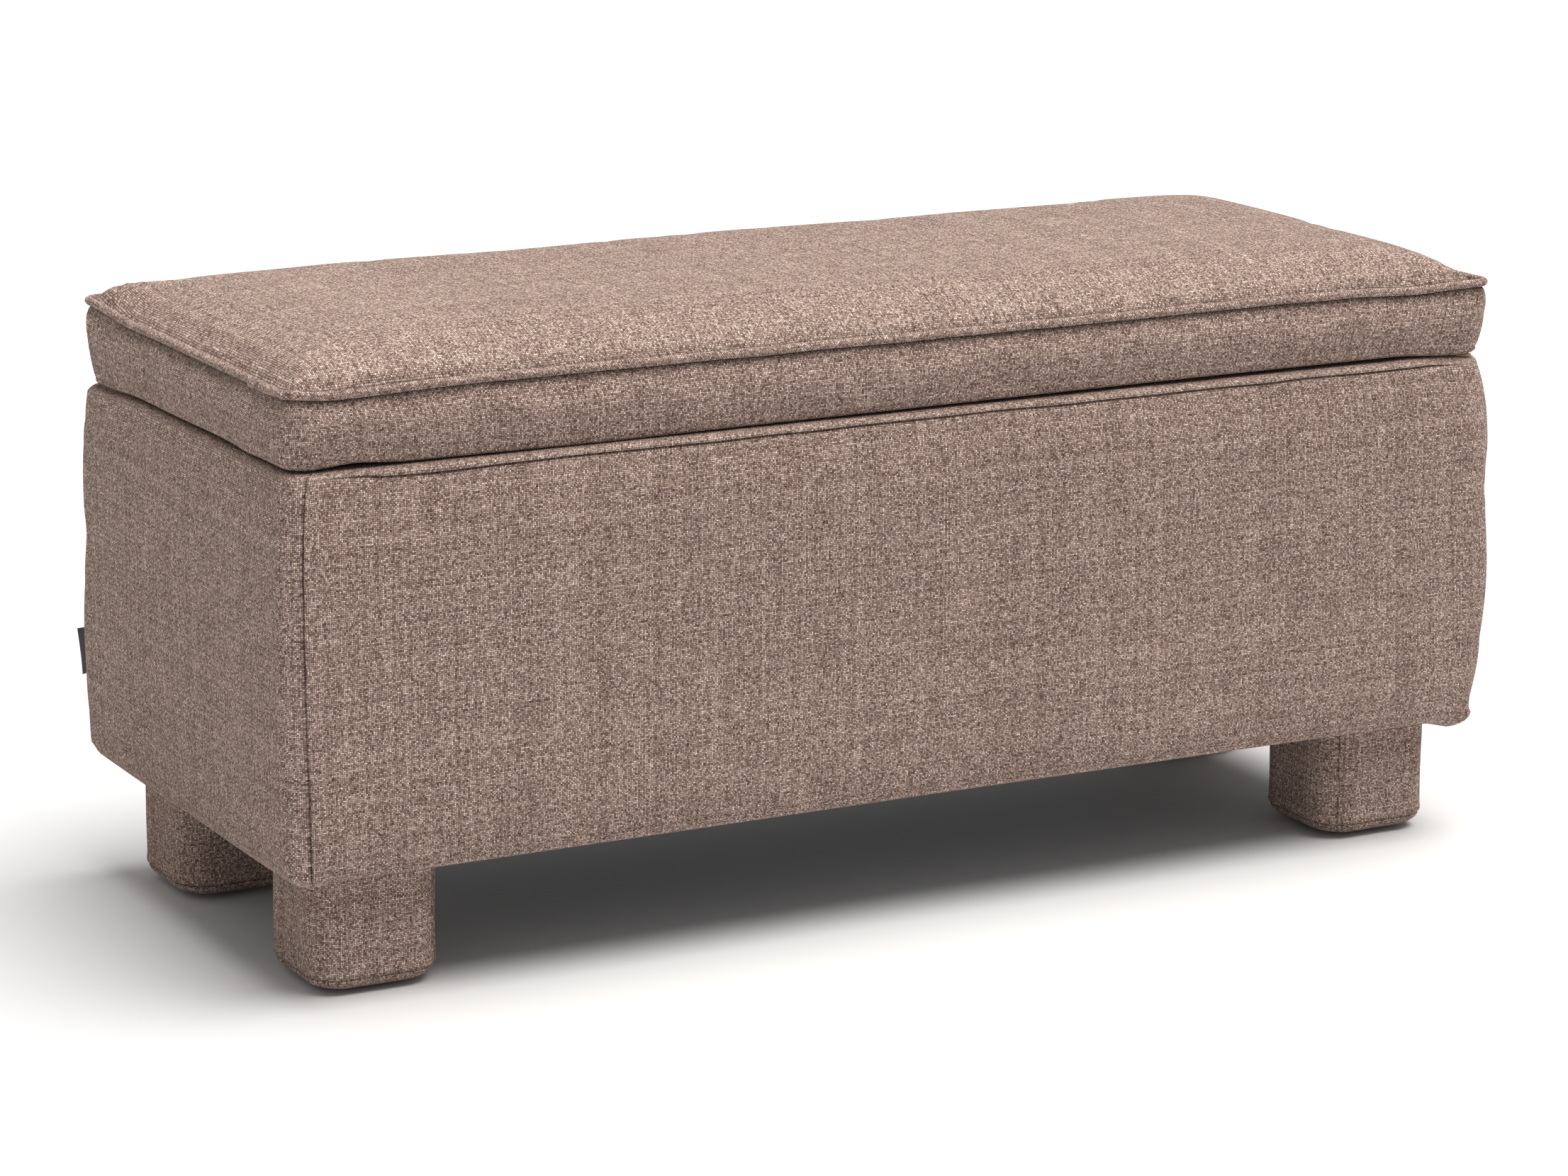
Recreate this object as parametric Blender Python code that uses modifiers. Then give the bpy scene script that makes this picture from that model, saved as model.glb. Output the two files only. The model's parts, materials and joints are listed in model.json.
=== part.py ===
"""Upholstered storage bench: a padded, hinged lid over a fabric-covered chest on four block feet.

Metres, +Z up.  X runs along the bench, the front faces -Y.  The origin is on the floor, at the centre
of the footprint.  Every soft part is a plain closed solid of the true outer size.
"""
import math

import bmesh
import bpy
from mathutils import Matrix, Vector

# ---- driving dimensions -------------------------------------------------------------------------
BENCH_LENGTH = 1.000        # over the widest part of the padded chest
BENCH_DEPTH = 0.410
FABRIC = 0.0012             # upholstery cloth
GAP = 0.0004                # between parts that touch
FOOT_HEIGHT = 0.0894
FOOT_SIDE = 0.098
FOOT_CORNER = 0.024
FOOT_CENTRE = Vector((0.421, 0.126))
CHEST_BOTTOM = 0.0908       # underside of the folded cover
RIM_TOP = 0.3795            # top of the covered chest
WIDEST = 0.295              # height where the chest is fullest
NECK_TUCK = 0.0055          # how far the padding draws in towards the rim
BASE_TUCK = 0.0050          # and towards the bottom
BASE_TUCK_RISE = 0.075
RIM_ROUND = 0.008
BASE_ROUND = 0.010
CHEST_CORNER = 0.016
BOARD = 0.015
CARCASS_HALF = Vector((0.484, 0.186))
FLOOR_BOARD_BOTTOM = CHEST_BOTTOM + FABRIC + GAP
FLOOR_BOARD_TOP = FLOOR_BOARD_BOTTOM + BOARD
WALL_TOP = RIM_TOP - FABRIC - GAP
RIM_TURN_IN = 0.026         # cover folded down inside the rim
LINING = 0.0008
LINING_CORNER = 0.034
GLUE_BLOCK = 0.017
DUST_CLOTH = 0.0006
BOTTOM_FOLD = 0.036         # cover folded under the floor board
TAG_MIDDLE = 0.171
TAG_TALL = 0.035
TAG_OUT = 0.0060

LID_HALF = Vector((0.4950, 0.1965))   # band at its fullest
LID_NECK_TUCK = 0.0065
LID_BOTTOM = 0.3837         # underside of the folded lid cover
LID_SEAM = 0.4300           # height of the piped seam
LID_SEAM_TUCK = 0.0065
LID_CROWN = 0.034           # centre of the seat over the seam
LID_CROWN_REACH = 0.026     # how soon the crown rises from the seam
LID_CORNER = 0.016
LID_BOARD_HALF = Vector((0.4840, 0.1875))
LID_BOARD_BOTTOM = LID_BOTTOM + FABRIC + GAP
PIPING_RADIUS = 0.0036
BUMPER_PLACE = Vector((0.4760, 0.1775))
BUMPER_RADIUS = 0.0035

HINGE_AXIS = Vector((0.0, 0.1962, 0.3816))
HINGE_AT = 0.300
HINGE_LENGTH = 0.064
HINGE_LEAF = 0.0012
HINGE_LEAF_WIDTH = 0.025
KNUCKLE_RADIUS = 0.0026
HINGE_BORE = 0.0015
HINGE_PIN = 0.0013
KNUCKLES = 5

STAY_REACH = 0.130          # hinge axis to the lid pivot, and hinge axis to the chest stud
STAY_DROP = 0.0115          # lid pivot below the hinge axis
STAY_SPREAD = math.radians(20.0)   # between the two reaches with the lid shut
LID_OPENS = math.radians(95.0)
STAY_X = 0.4575             # middle of the arm
STAY_THICK = 0.0020
STAY_WIDTH = 0.016
STUD_RADIUS = 0.0030
SLOT_HALF = 0.0034

CORNERS = (("front_left", -1, -1), ("front_right", 1, -1), ("back_left", -1, 1), ("back_right", 1, 1))


# ---- scene helpers ------------------------------------------------------------------------------
def clear_scene():
    for item in list(bpy.data.objects):
        bpy.data.objects.remove(item)


def new_collection(name):
    made = bpy.data.collections.new(name)
    bpy.context.scene.collection.children.link(made)
    return made


clear_scene()
BENCH = new_collection("storage_bench")
CUTTERS = new_collection("cutters")
CUTTERS.hide_render = True


def material(name, colour, roughness, metallic=0.0):
    made = bpy.data.materials.new(name)
    made.use_nodes = True
    shader = made.node_tree.nodes["Principled BSDF"]
    shader.inputs["Base Color"].default_value = (*colour, 1.0)
    shader.inputs["Roughness"].default_value = roughness
    shader.inputs["Metallic"].default_value = metallic
    return made


CLOTH = material("taupe_fabric", (0.30, 0.225, 0.195), 0.95)
PIPING = material("piping_fabric", (0.29, 0.215, 0.185), 0.95)
FOAM = material("foam", (0.80, 0.76, 0.62), 1.0)
WOOD = material("particle_board", (0.56, 0.42, 0.26), 0.75)
POST_WOOD = material("pine", (0.67, 0.50, 0.30), 0.7)
LINING_CLOTH = material("black_lining", (0.035, 0.034, 0.034), 0.9)
STEEL = material("zinc_steel", (0.62, 0.62, 0.60), 0.35, 1.0)
BLACK_STEEL = material("black_steel", (0.04, 0.04, 0.042), 0.45, 0.8)
GLIDE = material("felt_glide", (0.10, 0.09, 0.085), 0.9)
RUBBER = material("clear_rubber", (0.55, 0.53, 0.49), 0.5)
TAG = material("woven_tag", (0.03, 0.03, 0.032), 0.8)


def add(name, mesh, mat, collection=None):
    mesh.materials.clear()
    mesh.materials.append(mat)
    made = bpy.data.objects.new(name, mesh)
    (collection or BENCH).objects.link(made)
    return made


def cutter(name, mesh):
    made = add(name, mesh, WOOD, CUTTERS)
    made.hide_render = True
    made.display_type = "WIRE"
    return made


def mesh_of(name, build):
    """A mesh made by build(bm), with its faces pointing out."""
    shape = bmesh.new()
    build(shape)
    bmesh.ops.recalc_face_normals(shape, faces=shape.faces)
    made = bpy.data.meshes.new(name)
    shape.to_mesh(made)
    shape.free()
    return made


def box_mesh(name, low, high):
    low, high = Vector(low), Vector(high)
    place = Matrix.Translation((low + high) / 2) @ Matrix.Diagonal((*(high - low), 1.0))
    return mesh_of(name, lambda shape: bmesh.ops.create_cube(shape, size=1.0, matrix=place))


def rod_mesh(name, start, end, radius, sides=16):
    """A round rod from start to end."""
    start, end = Vector(start), Vector(end)
    along = end - start
    turn = along.to_track_quat("Z", "Y").to_matrix().to_4x4()
    place = Matrix.Translation((start + end) / 2) @ turn
    return mesh_of(
        name,
        lambda shape: bmesh.ops.create_cone(
            shape, cap_ends=True, segments=sides, radius1=radius, radius2=radius,
            depth=along.length, matrix=place,
        ),
    )


def boolean(target, other, operation="DIFFERENCE"):
    step = target.modifiers.new(operation.lower(), "BOOLEAN")
    step.operation = operation
    step.object = other


def bevel(target, width, segments=2):
    step = target.modifiers.new("edges", "BEVEL")
    step.width = width
    step.segments = segments
    step.limit_method = "ANGLE"


def outline_object(name, points, thickness, mat, place, collection=None):
    """A flat outline of the given thickness, lying in its own XY plane, turned into a mesh."""
    curve = bpy.data.curves.new(name, "CURVE")
    curve.dimensions = "2D"
    curve.fill_mode = "BOTH"
    curve.extrude = thickness / 2
    line = curve.splines.new("POLY")
    line.points.add(len(points) - 1)
    for dot, (x, y) in zip(line.points, points):
        dot.co = (x, y, 0.0, 1.0)
    line.use_cyclic_u = True
    helper = bpy.data.objects.new(name + "_outline", curve)
    BENCH.objects.link(helper)
    bpy.context.view_layer.update()
    graph = bpy.context.evaluated_depsgraph_get()
    made = bpy.data.meshes.new_from_object(helper.evaluated_get(graph))
    bpy.data.objects.remove(helper)
    shape = bmesh.new()
    shape.from_mesh(made)
    bmesh.ops.remove_doubles(shape, verts=shape.verts, dist=1e-6)
    bmesh.ops.recalc_face_normals(shape, faces=shape.faces)
    shape.to_mesh(made)
    shape.free()
    placed = add(name, made, mat, collection)
    placed.matrix_world = place
    return placed


QUARTER = math.pi / 2


# ---- sections -----------------------------------------------------------------------------------
def rounded_rectangle(half, corner, height, per_corner=4):
    """Points of a rounded rectangle at one height, anticlockwise."""
    points = []
    corner = max(corner, 0.001)
    for k, (sx, sy) in enumerate(((1, 1), (-1, 1), (-1, -1), (1, -1))):
        centre = Vector((sx * (half.x - corner), sy * (half.y - corner)))
        for i in range(per_corner + 1):
            angle = QUARTER * (k + i / per_corner)
            out = Vector((math.cos(angle), math.sin(angle))) * corner
            points.append(Vector((*(centre + out), height)))
    return points


def loft(shape, sections, close_first=False, close_last=False):
    """Skins a stack of sections that have the same number of points."""
    rings = [[shape.verts.new(point) for point in section] for section in sections]
    for lower, upper in zip(rings, rings[1:]):
        for i in range(len(lower)):
            j = (i + 1) % len(lower)
            shape.faces.new((lower[i], lower[j], upper[j], upper[i]))
    if close_first:
        shape.faces.new(list(reversed(rings[0])))
    if close_last:
        shape.faces.new(rings[-1])
    return rings


def arc(radius, start, end, steps):
    """Offsets along an arc, as (outward, upward) pairs, with the angle measured from outward."""
    return [
        (radius * math.cos(start + (end - start) * i / steps),
         radius * math.sin(start + (end - start) * i / steps))
        for i in range(steps + 1)
    ]


def chest_tuck(height):
    """How far the outer face of the chest stands in from its widest place, at a height."""
    if height >= WIDEST:
        return NECK_TUCK * ((height - WIDEST) / (RIM_TOP - WIDEST)) ** 2
    low = max(0.0, (CHEST_BOTTOM + BASE_TUCK_RISE - height) / BASE_TUCK_RISE)
    return BASE_TUCK * low ** 2


def chest_side(inward=0.0):
    """(tuck, height) pairs up the outer face, from the round at the base to the round at the rim."""
    base_round = max(BASE_ROUND - inward, 0.001)
    rim_round = max(RIM_ROUND - inward, 0.001)
    base = CHEST_BOTTOM + BASE_ROUND
    rim = RIM_TOP - RIM_ROUND
    pairs = [
        (chest_tuck(base) + BASE_ROUND - out, base + up)
        for out, up in arc(base_round, -QUARTER, 0.0, 3)
    ]
    for share in (0.12, 0.26, 0.45, 0.66, 0.80, 0.91):
        height = base + (rim - base) * share
        pairs.append((chest_tuck(height) + inward, height))
    pairs += [
        (chest_tuck(rim) + RIM_ROUND - out, rim + up)
        for out, up in arc(rim_round, 0.0, QUARTER, 3)
    ]
    return pairs


def chest_section(tuck, height, corner=CHEST_CORNER):
    half = Vector((BENCH_LENGTH / 2 - tuck, BENCH_DEPTH / 2 - tuck))
    return rounded_rectangle(half, corner - tuck * 0.4, height)


def solid_from(name, sections, mat):
    return add(name, mesh_of(name, lambda shape: loft(shape, sections, True, True)), mat)


def shell_from(name, sections, thickness, mat, close_first=False, close_last=False):
    """A cloth shell that thickens inwards from its outer face."""
    made = bpy.data.meshes.new(name)
    shape = bmesh.new()
    loft(shape, sections, close_first, close_last)
    shape.to_mesh(made)
    shape.free()
    shell = add(name, made, mat)
    step = shell.modifiers.new("cloth", "SOLIDIFY")
    step.thickness = thickness
    step.offset = -1.0
    step.use_even_offset = True
    step.thickness_clamp = 0.0
    return shell


# ---- chest --------------------------------------------------------------------------------------
def carcass():
    """Four walls on a floor board, with a glue block in each corner."""
    x, y = CARCASS_HALF
    low, high = FLOOR_BOARD_TOP + GAP, WALL_TOP
    slab = box_mesh("floor_board", (-x, -y, FLOOR_BOARD_BOTTOM), (x, y, FLOOR_BOARD_TOP))
    floor = add("floor_board", slab, WOOD)
    for name, side in (("front_board", -1), ("back_board", 1)):
        edge = sorted((side * y, side * (y - BOARD)))
        add(name, box_mesh(name, (-x, edge[0], low), (x, edge[1], high)), WOOD)
    inner = y - BOARD - GAP
    for name, side in (("left_end_board", -1), ("right_end_board", 1)):
        edge = sorted((side * x, side * (x - BOARD)))
        add(name, box_mesh(name, (edge[0], -inner, low), (edge[1], inner, high)), WOOD)
    block_low, block_high = low + 0.006, high - 0.034
    for name, sx, sy in CORNERS:
        a = GLUE_BLOCK
        points = ((0.0, 0.0), (-sx * a, 0.0), (0.0, -sy * a))
        if sx * sy < 0:
            points = points[::-1]
        corner = Vector((sx * (x - BOARD - GAP), sy * (y - BOARD - GAP), (block_low + block_high) / 2))
        outline_object(f"corner_block_{name}", points, block_high - block_low, POST_WOOD,
                       Matrix.Translation(corner))
    return floor


def chest_foam():
    """A foam sheet glued on each wall.  Front and back run to the corners, the ends fit between."""
    inward = FABRIC + GAP
    outer = [chest_section(tuck, height) for tuck, height in chest_side(inward)]
    ring = cutter("foam_ring", mesh_of("foam_ring", lambda shape: loft(shape, outer, True, True)))
    x, y = CARCASS_HALF
    reach = 0.6
    for name, side in (("front_foam", -1), ("back_foam", 1)):
        edge = sorted((side * (y + GAP), side * reach))
        pad = add(name, box_mesh(name, (-reach, edge[0], 0.0), (reach, edge[1], 0.5)), FOAM)
        boolean(pad, ring, "INTERSECT")
    for name, side in (("left_end_foam", -1), ("right_end_foam", 1)):
        edge = sorted((side * (x + GAP), side * reach))
        pad = add(name, box_mesh(name, (edge[0], -y, 0.0), (edge[1], y, 0.5)), FOAM)
        boolean(pad, ring, "INTERSECT")


def chest_cover():
    """The sewn sleeve: folded under the floor, up the outside, over the rim and down inside it."""
    inner = CARCASS_HALF - Vector((BOARD + GAP + FABRIC,) * 2)
    first_tuck = chest_side()[0][0]
    sections = [chest_section(first_tuck + BOTTOM_FOLD, CHEST_BOTTOM)]
    sections += [chest_section(tuck, height) for tuck, height in chest_side()]
    fold = 0.0015
    for out, up in arc(fold, QUARTER, 0.0, 2):
        half = inner + Vector((fold - out,) * 2)
        sections.append(rounded_rectangle(half, 0.004, RIM_TOP - fold + up))
    sections.append(rounded_rectangle(inner, 0.004, RIM_TOP - RIM_TURN_IN))
    return shell_from("chest_cover", sections, FABRIC, CLOTH)


def storage_lining():
    """The black cloth that lines the storage space, open at the top."""
    half = CARCASS_HALF - Vector((BOARD + 2 * GAP + LINING,) * 2)
    top = RIM_TOP - RIM_TURN_IN - 0.002
    bottom = FLOOR_BOARD_TOP + 0.0035
    fillet = 0.006
    sections = [rounded_rectangle(half, LINING_CORNER, top)]
    for out, down in arc(fillet, 0.0, QUARTER, 2):
        shrink = Vector((fillet - out,) * 2)
        corner = LINING_CORNER - (fillet - out)
        sections.append(rounded_rectangle(half - shrink, corner, bottom + fillet - down))
    made = bpy.data.meshes.new("storage_lining")
    shape = bmesh.new()
    loft(shape, sections, close_last=True)
    shape.to_mesh(made)
    shape.free()
    lining = add("storage_lining", made, LINING_CLOTH)
    step = lining.modifiers.new("cloth", "SOLIDIFY")
    step.thickness = LINING
    step.offset = 0.0
    step.use_even_offset = True


def dust_cover(bolt_cutters):
    """The thin black cloth under the chest, with a hole for each foot bolt."""
    half = Vector((BENCH_LENGTH, BENCH_DEPTH)) / 2 - Vector((0.030, 0.030))
    top = CHEST_BOTTOM - GAP
    sections = [
        rounded_rectangle(half, 0.012, top - DUST_CLOTH),
        rounded_rectangle(half, 0.012, top),
    ]
    sheet = solid_from("dust_cover", sections, LINING_CLOTH)
    for tool in bolt_cutters:
        boolean(sheet, tool)


def side_tag():
    """A blank woven tag that stands out of the rear left corner of the chest."""
    half = Vector((BENCH_LENGTH, BENCH_DEPTH)) / 2
    out = CHEST_CORNER * (1.0 - math.cos(QUARTER / 2))
    anchor = Vector((-half.x + out, half.y - out, TAG_MIDDLE))
    tall = TAG_TALL / 2
    tag = add("side_tag", box_mesh("side_tag", (GAP * 2, -0.0005, -tall), (TAG_OUT, 0.0005, tall)), TAG)
    tag.matrix_world = Matrix.Translation(anchor) @ Matrix.Rotation(math.radians(135), 4, "Z")


# ---- feet ---------------------------------------------------------------------------------------
BOLT_RADIUS = 0.004
BOLT_HOLE = 0.0048
BOLT_BOTTOM = 0.045
BOLT_TOP = FLOOR_BOARD_TOP + 0.0010
NUT_BARREL = 0.0056
NUT_FLANGE = 0.011
NUT_FLANGE_THICK = 0.0012
NUT_BOTTOM = FLOOR_BOARD_BOTTOM + 0.004
NUT_TOP = FLOOR_BOARD_TOP + 0.0009
GLIDE_HEIGHT = 0.003
GLIDE_RADIUS = 0.017


def foot_section(inward, height):
    side = FOOT_SIDE / 2 - inward
    return rounded_rectangle(Vector((side, side)), FOOT_CORNER - inward, height)


def foot_profile(inward):
    """(inset, height) pairs up a foot from its rounded lower edge."""
    edge = 0.010
    low = GLIDE_HEIGHT + GAP + inward
    top = FOOT_HEIGHT
    pairs = [(inward + edge - out, low + edge + up) for out, up in arc(edge, -QUARTER, 0.0, 3)]
    return pairs + [(inward, top)]


def feet():
    """Four block feet, each with its sock, bolt, tee nut and glide."""
    tools = []
    for name, sx, sy in CORNERS:
        centre = Vector((sx * FOOT_CENTRE.x, sy * FOOT_CENTRE.y, 0.0))
        place = Matrix.Translation(centre)
        drill_path = rod_mesh("drill", (0, 0, BOLT_BOTTOM - 0.004), (0, 0, 0.2), BOLT_HOLE)
        drill = cutter(f"foot_drill_{name}", drill_path)
        drill.matrix_world = place
        tools.append(drill)

        core = [foot_section(inset, height) for inset, height in foot_profile(FABRIC + GAP)]
        block = solid_from(f"foot_block_{name}", core, WOOD)
        block.matrix_world = place
        boolean(block, drill)

        outside = [foot_section(inset, height) for inset, height in foot_profile(0.0)]
        sock = shell_from(f"foot_cover_{name}", outside, FABRIC, CLOTH, close_first=True)
        sock.matrix_world = place

        bolt = add(f"foot_bolt_{name}",
                   rod_mesh("foot_bolt", (0, 0, BOLT_BOTTOM), (0, 0, BOLT_TOP), BOLT_RADIUS), STEEL)
        bolt.matrix_world = place

        disc = rod_mesh("foot_glide", (0, 0, 0), (0, 0, GLIDE_HEIGHT), GLIDE_RADIUS, 24)
        glide = add(f"foot_glide_{name}", disc, GLIDE)
        glide.matrix_world = place
        bevel(glide, 0.0008, 1)

        barrel = rod_mesh("tee_nut", (0, 0, NUT_BOTTOM), (0, 0, NUT_TOP), NUT_BARREL)
        nut = add(f"tee_nut_{name}", barrel, STEEL)
        nut.matrix_world = place
        flange = cutter(f"tee_flange_{name}",
                        rod_mesh("tee_flange", (0, 0, FLOOR_BOARD_TOP + GAP),
                                 (0, 0, FLOOR_BOARD_TOP + GAP + NUT_FLANGE_THICK), NUT_FLANGE))
        flange.matrix_world = place
        boolean(nut, flange, "UNION")
        boolean(nut, drill)
    return tools


def drill_floor(floor, tools):
    for tool, (name, sx, sy) in zip(tools, CORNERS):
        seat = cutter(f"nut_seat_{name}",
                      rod_mesh("nut_seat", (0, 0, 0.05), (0, 0, 0.2), NUT_BARREL + GAP))
        seat.matrix_world = tool.matrix_world
        boolean(floor, seat)


# ---- lid ----------------------------------------------------------------------------------------
LID_TURN = 0.007            # round where the band turns under the board
LID_FOLD = 0.034
CROWN_STEPS = (0.0, 0.010, 0.024, 0.045, 0.080, 0.130, 0.170)


def lid_tuck(height):
    """How far the band stands in from its fullest line, at a height."""
    middle = (LID_BOTTOM + LID_SEAM) / 2
    reach = (LID_SEAM - LID_BOTTOM) / 2
    return LID_SEAM_TUCK * abs((height - middle) / reach) ** 2.5


def lid_section(tuck, height, corner=LID_CORNER):
    return rounded_rectangle(LID_HALF - Vector((tuck, tuck)), max(corner - tuck * 0.5, 0.003), height)


def crown(inset):
    return LID_CROWN * (1.0 - math.exp(-inset / LID_CROWN_REACH))


def lid_profile(inward):
    """(tuck, height) pairs from the underside, round the turn, up the band and over the crown."""
    turn = max(LID_TURN - inward, 0.001)
    base = LID_BOTTOM + LID_TURN
    pairs = [
        (lid_tuck(base) + LID_TURN - out, base + up)
        for out, up in arc(turn, -QUARTER, 0.0, 3)
    ]
    for share in (0.25, 0.5, 0.75):
        height = base + (LID_SEAM - base) * share
        pairs.append((lid_tuck(height) + inward, height))
    for inset in CROWN_STEPS:
        pairs.append((LID_SEAM_TUCK + inward + inset, LID_SEAM - inward + crown(inset)))
    return pairs


def lid():
    fold_start = lid_profile(0.0)[0]
    sections = [lid_section(fold_start[0] + LID_FOLD, LID_BOTTOM)]
    sections += [lid_section(tuck, height) for tuck, height in lid_profile(0.0)]
    shell_from("lid_cover", sections, FABRIC, CLOTH, close_last=True)

    inward = FABRIC + GAP
    board_top = LID_BOARD_BOTTOM + BOARD
    foam_start = [pair for pair in lid_profile(inward) if pair[1] > board_top + GAP]
    first = (lid_tuck(board_top) + inward, board_top + GAP)
    solid_from("lid_foam", [lid_section(*pair) for pair in [first, *foam_start]], FOAM)

    board = [rounded_rectangle(LID_BOARD_HALF, 0.012, height) for height in (LID_BOARD_BOTTOM, board_top)]
    solid_from("lid_board", board, WOOD)

    cambric_top = LID_BOTTOM - GAP
    half = LID_BOARD_HALF - Vector((0.014, 0.014))
    sheet = [rounded_rectangle(half, 0.010, height) for height in (cambric_top - 0.0006, cambric_top)]
    solid_from("lid_underlining", sheet, LINING_CLOTH)
    piping()


def piping():
    """The covered cord sewn in the seam round the top of the lid."""
    stand_off = PIPING_RADIUS + 0.0006
    half = LID_HALF - Vector((LID_SEAM_TUCK,) * 2) + Vector((stand_off * 0.75,) * 2)
    curve = bpy.data.curves.new("lid_piping", "CURVE")
    curve.dimensions = "3D"
    curve.bevel_depth = PIPING_RADIUS
    curve.bevel_resolution = 2
    curve.use_fill_caps = True
    line = curve.splines.new("POLY")
    points = rounded_rectangle(half, LID_CORNER + 0.001, LID_SEAM + stand_off * 0.75)
    line.points.add(len(points) - 1)
    for dot, point in zip(line.points, points):
        dot.co = (*point, 1.0)
    line.use_cyclic_u = True
    made = bpy.data.objects.new("lid_piping", curve)
    curve.materials.append(PIPING)
    BENCH.objects.link(made)


def lid_bumpers():
    """Two soft dots under the front corners of the lid, which land on the rim of the chest."""
    for side, sign in (("left", -1), ("right", 1)):
        x, y = sign * BUMPER_PLACE.x, -BUMPER_PLACE.y
        dot = rod_mesh("lid_bumper", (x, y, RIM_TOP + GAP), (x, y, LID_BOTTOM - GAP), BUMPER_RADIUS)
        add(f"lid_bumper_{side}", dot, RUBBER)


# ---- hinges -------------------------------------------------------------------------------------
KNUCKLE_GAP = 0.00025       # end play on each side of a knuckle
KNUCKLE_ROOM = 0.0005       # clearance round the other leaf's knuckles
LEAF_GAP = 0.0003           # between the two leaves with the lid shut


def rod_across(name, start_x, end_x, through, radius):
    """A rod along X, through a point seen from the end of the bench."""
    return rod_mesh(name, (start_x, through.y, through.z), (end_x, through.y, through.z), radius)


def hinge_leaf(name, centre_x, leaf_low, own_knuckles, mat):
    """A leaf under or over the axis, with its share of the knuckles."""
    axis = HINGE_AXIS
    half = HINGE_LENGTH / 2
    near = axis.y - (KNUCKLE_RADIUS + HINGE_BORE) / 2
    low = (centre_x - half, axis.y - HINGE_LEAF_WIDTH, leaf_low)
    high = (centre_x + half, near, leaf_low + HINGE_LEAF)
    leaf = add(name, box_mesh(name, low, high), mat)
    pitch = HINGE_LENGTH / KNUCKLES
    for k in range(KNUCKLES):
        start = centre_x - half + k * pitch
        if k in own_knuckles:
            ends = (start + KNUCKLE_GAP, start + pitch - KNUCKLE_GAP)
            tube = rod_across("barrel", *ends, axis, KNUCKLE_RADIUS)
            boolean(leaf, cutter(f"{name}_barrel_{k}", tube), "UNION")
        else:
            clear = KNUCKLE_RADIUS + KNUCKLE_ROOM
            corner_low = (start - KNUCKLE_GAP, axis.y - clear, axis.z - clear)
            corner_high = (start + pitch + KNUCKLE_GAP, axis.y + clear, axis.z + clear)
            boolean(leaf, cutter(f"{name}_room_{k}", box_mesh("room", corner_low, corner_high)))
    bore = rod_across("bore", centre_x - half - 0.01, centre_x + half + 0.01, axis, HINGE_BORE)
    boolean(leaf, cutter(f"{name}_bore", bore))
    return leaf


def hinges():
    base_low = RIM_TOP + GAP * 0.75
    lid_low = base_low + HINGE_LEAF + LEAF_GAP
    for side, sign in (("left", -1), ("right", 1)):
        x = sign * HINGE_AT
        hinge_leaf(f"hinge_chest_leaf_{side}", x, base_low, (0, 2, 4), STEEL)
        hinge_leaf(f"hinge_lid_leaf_{side}", x, lid_low, (1, 3), STEEL)
        half = HINGE_LENGTH / 2
        add(f"hinge_pin_{side}", rod_across("hinge_pin", x - half, x + half, HINGE_AXIS, HINGE_PIN), STEEL)


# ---- lid stays ----------------------------------------------------------------------------------
RIVET_HOLE = 0.0029
RIVET_RADIUS = 0.0025
RIVET_HEAD = 0.0045
TAB_HALF = 0.011            # bracket tab, on each side of the pivot along Y
TAB_DROP = 0.009            # and below the pivot
PLATE_HALF = 0.022
PLATE_WIDTH = 0.026
BRACKET_STEEL = 0.002
STAY_PLAY = 0.0005          # between the arm and the parts beside it
STUD_CAP = 0.0058
STUD_FOOT = 0.0065


def stay_points():
    """The lid pivot and the chest stud, both at STAY_REACH from the hinge axis, with the lid shut."""
    lean = math.asin(STAY_DROP / STAY_REACH)
    pivot = Vector((0.0, -math.cos(lean), -math.sin(lean))) * STAY_REACH
    low = lean + STAY_SPREAD
    stud = Vector((0.0, -math.cos(low), -math.sin(low))) * STAY_REACH
    return HINGE_AXIS + pivot, HINGE_AXIS + stud


def stadium(start, end, half_width, steps=6):
    """A round-ended slot outline from start to end along X."""
    points = []
    for centre, first in ((end, -QUARTER), (start, QUARTER)):
        for i in range(steps + 1):
            angle = first + math.pi * i / steps
            points.append((centre + half_width * math.cos(angle), half_width * math.sin(angle)))
    return points


def stays():
    """A slotted arm at each end: it turns on a bracket under the lid and slides on a stud in the chest."""
    pivot, stud = stay_points()
    shut = (stud - pivot).length
    open_length = 2 * STAY_REACH * math.sin((STAY_SPREAD + LID_OPENS) / 2)
    along = (stud - pivot).normalized()
    for side, sign in (("left", -1), ("right", 1)):
        x = sign * STAY_X
        normal = Vector((1.0, 0.0, 0.0))
        across = normal.cross(along)
        frame = Matrix((along, across, normal)).transposed().to_4x4()
        place = Matrix.Translation(Vector((x, pivot.y, pivot.z))) @ frame
        arm = outline_object(f"stay_arm_{side}", stadium(0.0, open_length + 0.005, STAY_WIDTH / 2),
                             STAY_THICK, BLACK_STEEL, place)
        slot = outline_object(f"stay_slot_{side}", stadium(shut - 0.002, open_length + 0.0004, SLOT_HALF),
                              STAY_THICK * 3, BLACK_STEEL, place, CUTTERS)
        slot.hide_render = True
        slot.display_type = "WIRE"
        boolean(arm, slot)
        hole = rod_across("stay_hole", x - 0.01, x + 0.01, pivot, RIVET_HOLE)
        boolean(arm, cutter(f"stay_hole_{side}", hole))
        stay_bracket(side, sign, x, pivot)
        stay_stud(side, sign, x, stud)


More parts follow.
